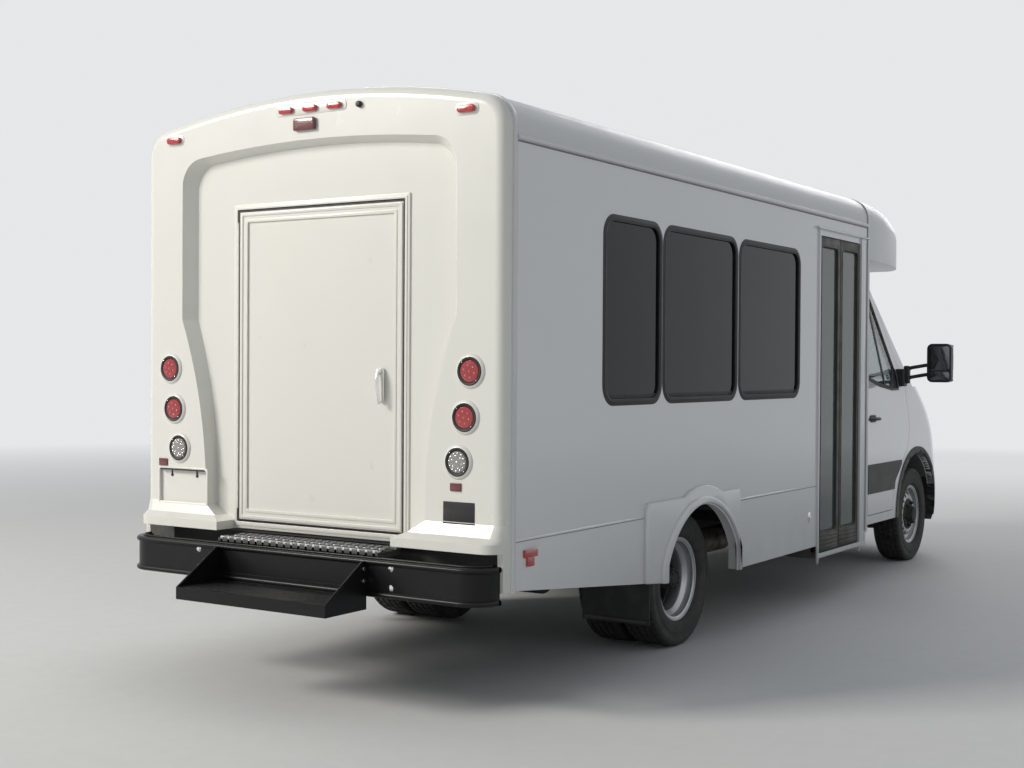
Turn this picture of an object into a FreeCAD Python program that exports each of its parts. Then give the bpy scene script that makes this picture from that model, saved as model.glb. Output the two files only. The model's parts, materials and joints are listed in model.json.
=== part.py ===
import FreeCAD, Part
import math
import os
import Sketcher
from FreeCAD import Vector

# A small bus on a van chassis, in millimetres. X points forward, Y to the
# driver's side, Z up. Stations along X are measured from the rear axle, and
# every sub-part's Placement then moves it so that the origin lies on the
# ground under the middle of the whole vehicle.

SIZES = (  # alias, value in mm, degrees or a count
    ("wheelbase", 4325),
    ("front_overhang", 1013),
    ("body_width", 2235),
    ("box_rear", 1950),          # rear axle back to the seam of the rear cap
    ("box_front", 2754),         # rear axle forward to the seam of the front cap
    ("floor_top", 775),
    ("floor_thick", 45),
    ("wall_thick", 45),
    ("roof_thick", 40),
    ("roof_seam", 2592),         # where side wall and roof meet
    ("roof_top", 2890),
    ("roof_corner", 150),
    ("crown_radius", 4800),
    ("skirt_rear", 572),         # lower edge of the skirt at the rear cap
    ("skirt_arch", 425),         # the same at the rear wheel
    ("skirt_low", 387),          # the same ahead of the rear wheel
    ("arch_half", 470),
    ("arch_spring", 520),
    ("arch_top", 816),
    ("flare_rear", 690),
    ("flare_front", 486),
    ("flare_top", 860),
    ("flare_hump", 911),
    ("flare_out", 20),
    ("window_low", 1385),
    ("window_high", 2323),
    ("window_corner", 100),
    ("glass_thick", 8),
    ("seat_gap", 0.3),           # between a piece and what it seats on
    ("seam", 5),                 # gap round every door and lid
    ("entry_rear", 1795),
    ("entry_front", 2592),
    ("entry_top", 2452),
    ("sill_low", 303),
    ("sill_high", 335),
    ("well_depth", 500),         # step well from the wall inwards
    ("leaf_thick", 35),
    ("leaf_frame", 48),
    ("leaf_rail", 130),
    ("leaf_pivot", 10),          # pivot in from the leaf's edge and face
    ("leaf_pin", 7),
    ("cap_face", 2026),          # rear axle back to the face of the rear cap
    ("cap_corner", 50),
    ("cap_low", 745),
    ("recess_depth", 66),
    ("recess_half", 860),
    ("recess_slope", 50),
    ("recess_low_half", 690),
    ("recess_top", 2658),
    ("recess_corner", 140),
    ("recess_bend", 1800),
    ("recess_narrow", 1000),
    ("ledge_face", 2095),
    ("ledge_inner", 545),
    ("ledge_thick", 42),
    ("ledge_rise", 80),
    ("rear_door_half", 522),
    ("rear_door_low", 787),
    ("rear_door_high", 2344),
    ("rear_door_thick", 55),
    ("rear_door_proud", 6),
    ("hinge_barrel", 6),
    ("lamp_radius", 62),
    ("lamp_proud", 14),
    ("plate_spacing", 178),      # the two screws of a number plate
    ("plate_hole", 7),
    ("bumper_low", 518),
    ("bumper_high", 688),
    ("bumper_face", 2160),
    ("bumper_thick", 8),
    ("bumper_lip", 45),
    ("bumper_corner", 130),
    ("bumper_inset", 14),        # each end of the bumper in from the body side
    ("tread_half", 500),
    ("tread_thick", 37),
    ("tread_slots", 14),
    ("step_reach", 290),
    ("step_half", 460),
    ("step_top", 515),
    ("step_lip", 58),
    ("step_rise", 165),
    ("step_flange", 40),
    ("rail_spacing", 860),
    ("rail_width", 65),
    ("rail_low", 500),
    ("rail_high", 650),
    ("rail_front", 4930),
    ("rail_plate", 8),
    ("jack_rear", 1456),         # jacking pads, back and forward from the rear axle
    ("jack_front", 3344),
    ("jack_pad", 12),
    ("tyre_radius", 376),
    ("tyre_width", 215),
    ("rim_radius", 220),
    ("dual_inner", 640),         # middle of the inner and the outer rear tyre
    ("dual_outer", 890),
    ("front_track", 1736),
    ("flap_inner", 660),         # inner edge of a mud flap
    ("flap_low", 198),
    ("kingpin_in", 110),         # steering axis inboard of the front tyre's middle
    ("arm_drop", 110),           # control arm below the wheel's axis
    ("spring_leaf", 10),
    ("gearbox_length", 1160),
    ("engine_length", 440),
    ("engine_height", 620),
    ("stud_circle", 205),
    ("hand_holes", 8),
    ("hub_radius", 80),
    ("axle_tube", 70),
    ("cab_half", 1010),
    ("cab_belt_half", 965),
    ("cab_roof_half", 800),
    ("cab_wall", 50),
    ("lining", 15),              # depth of the frames behind doors and hood
    ("cab_floor", 700),
    ("sill_bottom", 400),
    ("belt", 1400),
    ("cab_roof", 2325),
    ("screen_top", 2240),
    ("screen_foot_side", 4420),
    ("screen_foot_mid", 4620),
    ("screen_head_side", 3720),
    ("screen_head_mid", 3900),
    ("hood_front", 5120),
    ("hood_drop", 240),
    ("hood_half", 740),
    ("hood_low", 1160),
    ("cowl", 30),                # panel between screen and hood
    ("nose_shoulder_half", 600),
    ("bumper_bottom", 280),
    ("front_arch", 505),
    ("door_rear", 3110),
    ("door_hinge", 4130),
    ("door_low", 470),
    ("front_cap_reach", 4100),
    ("front_cap_low", 2350),
    ("cap_nose_half", 750),      # what the front cap narrows and falls towards
    ("cap_nose_top", 2470),
    ("cap_nose_corner", 60),
    ("front_cap_wall", 30),
    ("seat_rows", 4),
    ("seat_pitch", 760),
    ("seat_first", -1480),
    ("seat_width", 440),
    ("seat_height", 430),
    ("seat_back", 1080),
    ("seat_depth", 430),
)

doc = FreeCAD.newDocument("Minibus")
sheet = doc.addObject("Spreadsheet::Sheet", "Sizes")
for row, (alias, value) in enumerate(SIZES, start=1):
    sheet.set(f"A{row}", alias)
    sheet.set(f"B{row}", str(value))
    sheet.setAlias(f"B{row}", alias)
doc.recompute()


class Formula:
    # A number together with the sheet expression that gives it.
    def __init__(self, value, text):
        self.value = float(value)
        self.text = text

    def __float__(self):
        return self.value

    def combine(self, other, sign, value, swap=False):
        first, second = (formula(other), self) if swap else (self, formula(other))
        return Formula(value, f"({first.text} {sign} {second.text})")

    def __add__(self, other):
        return self.combine(other, "+", self.value + float(other))

    def __radd__(self, other):
        return self.combine(other, "+", float(other) + self.value, swap=True)

    def __sub__(self, other):
        return self.combine(other, "-", self.value - float(other))

    def __rsub__(self, other):
        return self.combine(other, "-", float(other) - self.value, swap=True)

    def __mul__(self, other):
        return self.combine(other, "*", self.value * float(other))

    def __rmul__(self, other):
        return self.combine(other, "*", float(other) * self.value, swap=True)

    def __truediv__(self, other):
        return self.combine(other, "/", self.value / float(other))

    def __neg__(self):
        return Formula(-self.value, f"(-1 * {self.text})")

    def __lt__(self, other):
        return self.value < float(other)


def formula(item):
    return item if isinstance(item, Formula) else Formula(item, repr(float(item)))


def root(item):
    return Formula(math.sqrt(item.value), f"sqrt({item.text})")


class SheetSizes:
    # size.wheelbase reads the cell with that alias.
    def __getattr__(self, alias):
        return Formula(sheet.get(alias), f"Sizes.{alias}")


size = SheetSizes()
overall_front = size.wheelbase + size.front_overhang
overall_rear = size.bumper_face + size.step_reach
rear_axle_x = (overall_rear - overall_front) / 2
half_width = size.body_width / 2
inner_half = half_width - size.wall_thick
axle_z = size.tyre_radius


def bind(item, name, value):
    value = formula(value)
    item.setExpression(name, value.text)


# Outlines are lists of corners (across, up). A third entry is the radius of
# the arc that leads to this corner: positive turns left, negative right.

def arc_centre(start, end, radius):
    dx, dy = end[0] - start[0], end[1] - start[1]
    chord = math.hypot(dx, dy)
    rise = math.sqrt(max(radius * radius - chord * chord / 4, 0)) * (1 if radius > 0 else -1)
    return (start[0] + end[0]) / 2 - dy / chord * rise, (start[1] + end[1]) / 2 + dx / chord * rise


def spot(plane, across, up, at):
    if plane == "XY":
        return Vector(across, up, at)
    if plane == "XZ":
        return Vector(across, at, up)
    return Vector(at, across, up)


def wire(points, plane, at):
    edges = []
    for before, corner in zip(points[-1:] + points[:-1], points):
        start = (float(before[0]), float(before[1]))
        end = (float(corner[0]), float(corner[1]))
        if len(corner) < 3:
            edges.append(Part.LineSegment(spot(plane, *start, float(at)), spot(plane, *end, float(at))).toShape())
            continue
        radius = float(corner[2])
        centre = arc_centre(start, end, radius)
        middle = ((start[0] + end[0]) / 2 - centre[0], (start[1] + end[1]) / 2 - centre[1])
        reach = abs(radius) / math.hypot(*middle)
        crest = (centre[0] + middle[0] * reach, centre[1] + middle[1] * reach)
        edges.append(Part.Arc(spot(plane, *start, float(at)), spot(plane, *crest, float(at)),
                              spot(plane, *end, float(at))).toShape())
    return Part.Wire(edges)


def prism(points, plane, low, high):
    direction = spot(plane, 0, 0, float(high) - float(low))
    return Part.Face(wire(points, plane, low)).extrude(direction)


def rectangle(left, right, low, high, radius=0):
    if float(radius) == 0:
        return [(left, low), (right, low), (right, high), (left, high)]
    return [(left + radius, low), (right - radius, low), (right, low + radius, radius),
            (right, high - radius), (right - radius, high, radius), (left + radius, high),
            (left, high - radius, radius), (left, low + radius), (left + radius, low, radius)][1:]


def block(x_low, x_high, y_low, y_high, z_low, z_high):
    return prism(rectangle(x_low, x_high, y_low, y_high), "XY", z_low, z_high)


def rod(start, end, radius):
    start, end = Vector(*map(float, start)), Vector(*map(float, end))
    return Part.makeCylinder(float(radius), start.distanceToPoint(end), start, end - start)


PLANES = {"XY": "XY_Plane", "XZ": "XZ_Plane", "YZ": "YZ_Plane"}
NORMALS = {"XY": 1, "XZ": -1, "YZ": 1}   # which way each origin plane faces


def new_body(label):
    item = doc.addObject("PartDesign::Body", label)
    item.Label = label
    item.AllowCompound = True
    return item


def new_sketch(owner, plane, at=0):
    item = owner.newObject("Sketcher::SketchObject", "Sketch")
    support = [plate for plate in owner.Origin.OriginFeatures if plate.Role == PLANES[plane]]
    item.AttachmentSupport = [(support[0], "")]
    item.MapMode = "FlatFace"
    bind(item, "AttachmentOffset.Base.z", formula(at) * NORMALS[plane])
    return item


def pin(sketch, geometry, end, kind, value):
    number = sketch.addConstraint(Sketcher.Constraint(kind, -1, 1, geometry, end, float(value)))
    if isinstance(value, Formula):
        bind(sketch, f"Constraints[{number}]", value)


def draw(sketch, points):
    # Adds a closed outline whose corners and radii follow the sheet.
    first = sketch.GeometryCount
    ends = []
    for before, corner in zip(points[-1:] + points[:-1], points):
        start = (float(before[0]), float(before[1]))
        end = (float(corner[0]), float(corner[1]))
        if len(corner) < 3:
            sketch.addGeometry(Part.LineSegment(Vector(*start, 0), Vector(*end, 0)))
            ends.append((1, 2))
            continue
        radius = float(corner[2])
        centre = arc_centre(start, end, radius)
        circle = Part.Circle(Vector(*centre, 0), Vector(0, 0, 1), abs(radius))
        angles = [math.atan2(p[1] - centre[1], p[0] - centre[0]) for p in (start, end)]
        if radius < 0:
            angles.reverse()
        if angles[1] < angles[0]:
            angles[1] += 2 * math.pi
        number = sketch.addGeometry(Part.ArcOfCircle(circle, *angles))
        ends.append((1, 2) if radius > 0 else (2, 1))
        held = sketch.addConstraint(Sketcher.Constraint("Radius", number, abs(radius)))
        rule = formula(corner[2])
        bind(sketch, f"Constraints[{held}]", rule if radius > 0 else -rule)
    for step, corner in enumerate(points):
        after = (step + 1) % len(points)
        sketch.addConstraint(Sketcher.Constraint(
            "Coincident", first + step, ends[step][1], first + after, ends[after][0]))
        pin(sketch, first + step, ends[step][1], "DistanceX", corner[0])
        pin(sketch, first + step, ends[step][1], "DistanceY", corner[1])


def draw_circle(sketch, across, up, radius):
    centre = Vector(float(across), float(up), 0)
    number = sketch.addGeometry(Part.Circle(centre, Vector(0, 0, 1), float(radius)))
    held = sketch.addConstraint(Sketcher.Constraint("Radius", number, float(radius)))
    bind(sketch, f"Constraints[{held}]", radius)
    pin(sketch, number, 3, "DistanceX", across)
    pin(sketch, number, 3, "DistanceY", up)


def add_pad(owner, plane, outlines, low, high):
    # Pads one or more outlines from the station low to the station high.
    sketch = new_sketch(owner, plane, low)
    for points in outlines:
        draw(sketch, points)
    item = owner.newObject("PartDesign::Pad", "Pad")
    item.Profile = sketch
    bind(item, "Length", formula(high) - low)
    item.Reversed = NORMALS[plane] < 0
    return item


def add_pocket(owner, plane, outlines, low, high):
    # Cuts one or more outlines from the station low to the station high.
    sketch = new_sketch(owner, plane, low)
    for points in outlines:
        draw(sketch, points)
    item = owner.newObject("PartDesign::Pocket", "Pocket")
    item.Profile = sketch
    item.Type = "Length"
    bind(item, "Length", formula(high) - low)
    item.Reversed = NORMALS[plane] > 0
    return item


def add_revolution(owner, outlines):
    # Turns outlines drawn on the plane Y-Z about the Y axis.
    sketch = new_sketch(owner, "YZ")
    for points in outlines:
        draw(sketch, points)
    item = owner.newObject("PartDesign::Revolution", "Revolution")
    item.Profile = sketch
    item.ReferenceAxis = (sketch, ["H_Axis"])
    item.Angle = 360
    return item


def add_row(owner, feature, axis, length, count):
    # Repeats a feature along one of the body's own axes.
    item = owner.newObject("PartDesign::LinearPattern", "Row")
    item.Originals = [feature]
    lines = [line for line in owner.Origin.OriginFeatures if line.Role == axis]
    item.Direction = (lines[0], [""])
    bind(item, "Length", length)
    bind(item, "Occurrences", count)
    owner.Tip = item


def add_ring(owner, feature, count):
    # Repeats a feature round the body's own Y axis.
    item = owner.newObject("PartDesign::PolarPattern", "Ring")
    item.Originals = [feature]
    lines = [line for line in owner.Origin.OriginFeatures if line.Role == "Y_Axis"]
    item.Axis = (lines[0], [""])
    item.Angle = 360
    bind(item, "Occurrences", count)
    owner.Tip = item


SUBPARTS = []


def place(item, x=0, y=0, z=0):
    # Sets a finished sub-part at its station from the rear axle.
    bind(item, "Placement.Base.x", rear_axle_x + x)
    bind(item, "Placement.Base.y", y)
    bind(item, "Placement.Base.z", z)
    SUBPARTS.append(item)
    return item


def add_feature(label, shapes):
    item = doc.addObject("Part::Feature", label)
    item.Label = label
    item.Shape = shapes[0] if len(shapes) == 1 else Part.makeCompound(shapes)
    return place(item)


def joined(shapes):
    whole = shapes[0].multiFuse(shapes[1:])
    return whole.removeSplitter()


# Box section shared by the roof and both caps, its bottom edge at low.

def end_section(inset, low, half, top, round_corner):
    # Crowned top, round upper corners, straight sides and a flat underside.
    corner = round_corner - inset
    crown = size.crown_radius - inset
    side = half - inset
    crown_z = top - size.crown_radius
    corner_y = half - round_corner
    corner_z = crown_z + root((crown - corner) * (crown - corner) - corner_y * corner_y)
    touch_y = corner_y * crown / (crown - corner)
    touch_z = crown_z + (corner_z - crown_z) * crown / (crown - corner)
    return [(-side, low), (side, low), (side, corner_z), (touch_y, touch_z, corner),
            (-touch_y, touch_z, crown), (-side, corner_z, corner)]


def box_section(inset, low):
    return end_section(inset, low, half_width, size.roof_top, size.roof_corner)


def make_roof():
    body = new_body("roof")
    add_pad(body, "YZ", [box_section(0, size.roof_seam)], -size.box_rear, size.box_front)
    inner = box_section(size.roof_thick, size.roof_seam - size.roof_thick)
    add_pocket(body, "YZ", [inner], -size.box_rear, size.box_front)
    place(body)


# Side walls: the skirt rises behind the rear wheel, and each carries a flare.

WINDOWS = {  # side: rear and front edge of each window
    -1: ((-1137, -510), (-488, 466), (493, 1449)),
    1: ((-1137, -510), (-488, 466), (493, 1449), (1476, 2430)),
}


def arch_corners():
    rise = size.arch_top - size.arch_spring
    radius = (size.arch_half * size.arch_half + rise * rise) / (2 * rise)
    return [(-size.arch_half, size.arch_spring), (size.arch_half, size.arch_spring, -radius)]


def window_outlines(side, gap=0):
    return [rectangle(formula(rear) + gap, formula(front) - gap, size.window_low + gap,
                      size.window_high - gap, size.window_corner - gap) for rear, front in WINDOWS[side]]


def make_side_wall(label, side):
    arch = arch_corners()
    outline = [(-size.box_rear, size.skirt_rear), (-size.arch_half, size.skirt_arch)] + arch
    outline += [(size.arch_half, size.skirt_low)]
    if side < 0:
        outline += [(size.entry_rear, size.skirt_low), (size.entry_rear, size.entry_top),
                    (size.entry_front, size.entry_top), (size.entry_front, size.sill_low),
                    (size.box_front, size.sill_low)]
    else:
        outline += [(size.box_front, size.skirt_low)]
    outline += [(size.box_front, size.roof_seam), (-size.box_rear, size.roof_seam)]
    body = new_body(label)
    low, high = sorted((half_width * side, inner_half * side))
    add_pad(body, "XZ", [outline], low, high)
    add_pocket(body, "XZ", window_outlines(side), low, high)
    hump = size.flare_hump - size.flare_top
    hump_radius = (size.arch_half * size.arch_half / 4 + hump * hump) / (2 * hump)
    flare = [(-size.flare_rear, size.skirt_arch + 24), (-size.arch_half, size.skirt_arch)] + arch
    flare += [(size.arch_half, size.skirt_low), (size.flare_front, size.skirt_low),
              (size.flare_front, size.flare_top), (size.arch_half / 2, size.flare_top),
              (-size.arch_half / 2, size.flare_top, hump_radius), (-size.flare_rear, size.flare_top)]
    low, high = sorted((half_width * side, (half_width + size.flare_out) * side))
    add_pad(body, "XZ", [flare], low, high)
    place(body)


def make_side_windows():
    body = new_body("side_windows")
    for side in (-1, 1):
        face = half_width - size.flare_out / 2
        low, high = sorted((face * side, (face - size.glass_thick) * side))
        add_pad(body, "XZ", window_outlines(side, size.seat_gap), low, high)
    place(body)


# Floor, with a box over each pair of rear wheels and a hole for the step well.

wheel_box = size.tyre_radius + 60
box_side = size.dual_inner - size.tyre_width / 2 - 30
box_top = 2 * size.tyre_radius + 90


def make_floor():
    body = new_body("floor")
    well_inner = half_width - size.well_depth
    low = size.floor_top - size.floor_thick
    outline = [(-size.box_rear, -inner_half), (size.entry_rear, -inner_half), (size.entry_rear, -well_inner),
               (size.entry_front, -well_inner), (size.entry_front, -inner_half), (size.box_front, -inner_half),
               (size.box_front, inner_half), (-size.box_rear, inner_half)]
    add_pad(body, "XY", [outline], low, size.floor_top)
    outer = [rectangle(-wheel_box, wheel_box, *sorted((box_side * side, inner_half * side))) for side in (-1, 1)]
    inner = [rectangle(20 - wheel_box, wheel_box - 20, *sorted(((box_side + 20) * side, (inner_half + 1) * side)))
             for side in (-1, 1)]
    add_pad(body, "XY", outer, size.floor_top, box_top)
    add_pocket(body, "XY", inner, low, box_top - 20)
    place(body)


# Entry: three treads in a well, closed by two outward leaves.

def make_entry_steps():
    body = new_body("entry_steps")
    inner = -(half_width - size.well_depth)
    middle = (inner - half_width) / 2
    rise = (size.floor_top - size.sill_high) / 2
    plate = 12
    floor_low = size.floor_top - size.floor_thick
    outline = [(-half_width, size.sill_low), (middle + plate, size.sill_low),
               (middle + plate, size.sill_high + rise - plate), (inner, size.sill_high + rise - plate),
               (inner, floor_low), (inner - plate, floor_low),
               (inner - plate, size.sill_high + rise), (middle, size.sill_high + rise),
               (middle, size.sill_high), (-half_width, size.sill_high)]
    add_pad(body, "YZ", [outline], size.entry_rear, size.entry_front)
    end = [(-inner_half, size.sill_low), (inner, size.sill_low), (inner, floor_low), (-inner_half, floor_low)]
    add_pad(body, "YZ", [end], size.entry_rear - plate, size.entry_rear)
    add_pad(body, "YZ", [end], size.entry_front, size.entry_front + plate)
    place(body)


entry_middle = (size.entry_rear + size.entry_front) / 2


def make_entry_leaf(label, rear, front, hinge_rear):
    body = new_body(label)
    low = size.sill_high + size.seam
    high = size.entry_top - size.seam
    face = -half_width
    back = face + size.leaf_thick
    corner = size.leaf_pivot
    if hinge_rear:
        outline = [(front, face), (front, back), (rear, back), (rear, face + corner),
                   (rear + corner, face, corner)]
        pivot_x = rear + corner
    else:
        outline = [(rear, face), (front - corner, face), (front, face + corner, corner), (front, back),
                   (rear, back)]
        pivot_x = front - corner
    add_pad(body, "XY", [outline], low, high)
    opening = rectangle(rear + size.leaf_frame, front - size.leaf_frame, low + size.leaf_rail,
                        high - size.leaf_rail / 2, 30)
    depth = (size.leaf_thick - size.glass_thick) / 2
    add_pocket(body, "XZ", [opening], face, face + depth)
    add_pocket(body, "XZ", [opening], face + depth + size.glass_thick, back)
    for start, end in ((size.sill_high + size.seat_gap, low + 10), (high - 10, size.entry_top - size.seat_gap)):
        sketch = new_sketch(body, "XY", start)
        draw_circle(sketch, pivot_x, face + corner, size.leaf_pin)
        pin_pad = body.newObject("PartDesign::Pad", "Pin")
        pin_pad.Profile = sketch
        bind(pin_pad, "Length", end - start)
    place(body)


# Rear cap: the box section in one moulding, with the recess round the door.

def recess_outline(half, low_half, top):
    bend = size.recess_bend
    corner = size.recess_corner
    drop = 40
    crown = (half - corner) * (half - corner) / (2 * drop) + drop / 2
    return [(-low_half, size.cap_low - 40), (low_half, size.cap_low - 40), (low_half, size.recess_narrow),
            (half, bend, -2400), (half, top - drop - corner), (half - corner, top - drop, corner),
            (corner - half, top - drop, crown), (-half, top - drop - corner, corner),
            (-half, bend), (-low_half, size.recess_narrow, -2400)]


def ledge_outline(reach, inward, side, up):
    # One ledge seen from above: round the body's corner and along the face to the recess.
    corner = size.cap_corner + (reach - size.cap_face) / 2
    back = size.recess_depth - size.cap_face
    points = [(-reach + corner, half_width * side), (-reach, (half_width - corner) * side, corner * side),
              (-reach, inward * side), (back, inward * side), (back, half_width * side)]
    return wire(points, "XY", up)


def make_rear_cap():
    face, seam_x = -size.cap_face, -size.box_rear
    floor_x = face + size.recess_depth
    inner_x = -size.cap_face + size.recess_depth + size.rear_door_thick
    shell = prism(box_section(0, size.cap_low), "YZ", face, seam_x)
    edges = [edge for edge in shell.Edges
             if abs(edge.BoundBox.XMax - float(face)) < 1 and edge.BoundBox.ZMin > float(size.cap_low) - 1
             and edge.BoundBox.ZMax > float(size.cap_low) + 1 and edge.BoundBox.XLength < 1]
    shell = shell.makeFillet(float(size.cap_corner), edges)
    lining = prism(box_section(size.wall_thick, size.floor_top), "YZ", seam_x, inner_x)
    outer = wire(recess_outline(size.recess_half, size.recess_low_half, size.recess_top), "YZ", face - 0.5)
    inner = wire(recess_outline(size.recess_half - size.recess_slope, size.recess_low_half - 12,
                                size.recess_top - 25), "YZ", floor_x)
    recess = Part.makeLoft([outer, inner], True, True)
    pieces = [shell, lining]
    leg_top = size.cap_low + 1
    for side in (-1, 1):
        low, high = sorted((half_width * side, (half_width - 30) * side))
        pieces.append(prism(rectangle(face, seam_x, low, high), "XY", size.skirt_rear, leg_top))
    cap = joined(pieces).cut(recess)
    ledges = []
    lip = size.ledge_face - size.cap_face
    lip_top = size.cap_low + size.ledge_thick
    for side in (-1, 1):
        sections = [ledge_outline(size.ledge_face, size.ledge_inner, side, size.cap_low),
                    ledge_outline(size.ledge_face, size.ledge_inner, side, lip_top),
                    ledge_outline(size.cap_face + lip * 0.3, size.ledge_inner + 60, side,
                                  lip_top + size.ledge_rise * 0.3),
                    ledge_outline(size.cap_face, size.recess_low_half, side, lip_top + size.ledge_rise)]
        ledges.append(Part.makeLoft(sections, True, True))
    cap = joined([cap] + ledges)
    opening = rectangle(-size.rear_door_half - size.seam, size.rear_door_half + size.seam,
                        size.cap_low - 60, size.rear_door_high + size.seam)
    cap = cap.cut(prism(opening, "YZ", face - 200, inner_x + 1))
    plate_y, plate_z = 850, 945
    pocket = prism(rectangle(plate_y - 165, plate_y + 165, plate_z - 85, plate_z + 85, 12), "YZ", face - 1, face + 12)
    cap = cap.cut(pocket.common(prism(rectangle(0, half_width - 60, 0, 3000), "YZ", face - 2, face + 20)))
    for shift in (-0.5, 0.5):
        hole_y = plate_y + size.plate_spacing * shift
        cap = cap.cut(rod((face - 1, hole_y, plate_z + 55), (face + 50, hole_y, plate_z + 55), size.plate_hole / 2))
    add_feature("rear_cap", [cap.removeSplitter()])


def make_rear_door():
    body = new_body("rear_door")
    inside = -size.cap_face + size.recess_depth + size.rear_door_thick
    outside = -size.cap_face + size.recess_depth - size.rear_door_proud
    half = size.rear_door_half
    panel = rectangle(-half, half, size.rear_door_low, size.rear_door_high)
    add_pad(body, "YZ", [panel], outside, inside)
    field = rectangle(45 - half, half - 45, size.rear_door_low + 45, size.rear_door_high - 45)
    add_pocket(body, "YZ", [field], outside, outside + size.rear_door_proud)
    handle = rectangle(-402, -374, 1400, 1560, 12)
    base = outside + size.rear_door_proud
    add_pad(body, "YZ", [handle], base - 22, base)
    barrel = new_sketch(body, "XY", size.rear_door_low + 60)
    hinge_x = base - size.hinge_barrel - size.seat_gap
    draw_circle(barrel, hinge_x, half + size.seam / 2, size.hinge_barrel)
    hinge = body.newObject("PartDesign::Pad", "Hinge")
    hinge.Profile = barrel
    bind(hinge, "Length", size.rear_door_high - size.rear_door_low - 120)
    place(body)


# Rear lamps: round lenses on the posts, small marker lamps along the top.

ROUND_LAMPS = ((938, 1549), (911, 1342), (874, 1141))               # across, up
BAR_LAMPS = (  # across, up, half width, half height
    (912, 2719, 45, 18), (-912, 2719, 45, 18), (0, 2805, 42, 15), (151, 2803, 42, 15), (-151, 2803, 42, 15),
    (32, 2730, 62, 27), (990, 1065, 30, 20), (-940, 1040, 30, 20))


def make_rear_lamps():
    body = new_body("rear_lamps")
    face = -size.cap_face
    sketch = new_sketch(body, "YZ", face - size.lamp_proud)
    for across, up in ROUND_LAMPS:
        for side in (-1, 1):
            draw_circle(sketch, across * side, up, size.lamp_radius)
    pad = body.newObject("PartDesign::Pad", "Pad")
    pad.Profile = sketch
    bind(pad, "Length", size.lamp_proud)
    bars = [rectangle(across - wide, across + wide, up - tall, up + tall) for across, up, wide, tall in BAR_LAMPS]
    add_pad(body, "YZ", bars, face - size.lamp_proud, face)
    place(body)


# Rear bumper: a channel bent round both corners, on two arms from the rails.

rail_rear = size.bumper_face - 100

def bumper_outline(depth, width):
    reach = size.bumper_face - depth
    side = half_width - size.bumper_inset - depth
    corner = size.bumper_corner - depth
    back = size.cap_face + 6
    inner_reach = size.bumper_face - depth - width
    inner_side = side - width
    inner_corner = size.bumper_corner - depth - width
    return [(-back, -side), (-back, -inner_side), (inner_corner - inner_reach, -inner_side),
            (-inner_reach, inner_corner - inner_side, -inner_corner), (-inner_reach, inner_side - inner_corner),
            (inner_corner - inner_reach, inner_side, -inner_corner), (-back, inner_side), (-back, side),
            (corner - reach, side), (-reach, side - corner, corner), (-reach, corner - side),
            (corner - reach, -side, corner)]


def make_rear_bumper():
    body = new_body("rear_bumper")
    web = bumper_outline(0, size.bumper_thick)
    lip = bumper_outline(0, size.bumper_lip)
    add_pad(body, "XY", [web], size.bumper_low, size.bumper_high)
    add_pad(body, "XY", [lip], size.bumper_low, size.bumper_low + size.bumper_thick)
    add_pad(body, "XY", [lip], size.bumper_high - size.bumper_thick, size.bumper_high)
    arms = []
    for side in (-1, 1):
        low, high = sorted(((size.rail_spacing / 2 - 20) * side, (size.rail_spacing / 2 + 20) * side))
        arms.append(rectangle(low, high, size.rail_low + 30, size.rail_high - 30))
    add_pad(body, "YZ", arms, size.bumper_thick - size.bumper_face, -rail_rear)
    place(body)


def make_tread_plate():
    body = new_body("tread_plate")
    rear = -size.bumper_face + 30
    front = -size.cap_face + size.recess_depth + 8
    low, high = size.bumper_high, size.bumper_high + size.tread_thick
    plate = rectangle(rear, front, -size.tread_half, size.tread_half)
    add_pad(body, "XY", [plate], low, high)
    add_pocket(body, "XY", [rectangle(rear + 6, front - 6, 6 - size.tread_half, size.tread_half - 6)],
               low, high - 4)
    pitch = size.tread_half * 2 / size.tread_slots
    start = -size.tread_half
    slots = []
    for row in (0, 1):
        x = rear + 14 + row * 70
        slots.append([(x, start + pitch / 2), (x + 15, start + 8), (x + 45, start + 8), (x + 60, start + pitch / 2),
                      (x + 45, start + pitch - 8), (x + 15, start + pitch - 8)])
    cut = add_pocket(body, "XY", slots, low, high)
    add_row(body, cut, "Y_Axis", size.tread_half * 2 - pitch, size.tread_slots)
    place(body)


def make_rear_step():
    body = new_body("rear_step")
    plate = 8
    near = -size.bumper_face
    far = near - size.step_reach
    low = size.step_top - size.step_lip
    cheek = [(near, low), (near, size.step_top + size.step_rise), (near - 30, size.step_top + size.step_rise),
             (far, size.step_top), (far, low)]
    for side in (-1, 1):
        low_y, high_y = sorted((size.step_half * side, (size.step_half - plate) * side))
        add_pad(body, "XZ", [cheek], low_y, high_y)
    flange = size.step_top + size.step_flange
    channel = [(near, flange), (near - plate, flange), (near - plate, size.step_top), (far, size.step_top),
               (far, low), (far + plate, low), (far + plate, size.step_top - plate),
               (near, size.step_top - plate)]
    add_pad(body, "XZ", [channel], -size.step_half, size.step_half)
    slot = rectangle(near - 70, near - 40, 150, 380)
    add_pocket(body, "XY", [slot], low, size.step_top)
    place(body)


# Running gear.

web_inner = (size.rail_spacing + size.rail_width) / 2 - size.rail_plate


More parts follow.
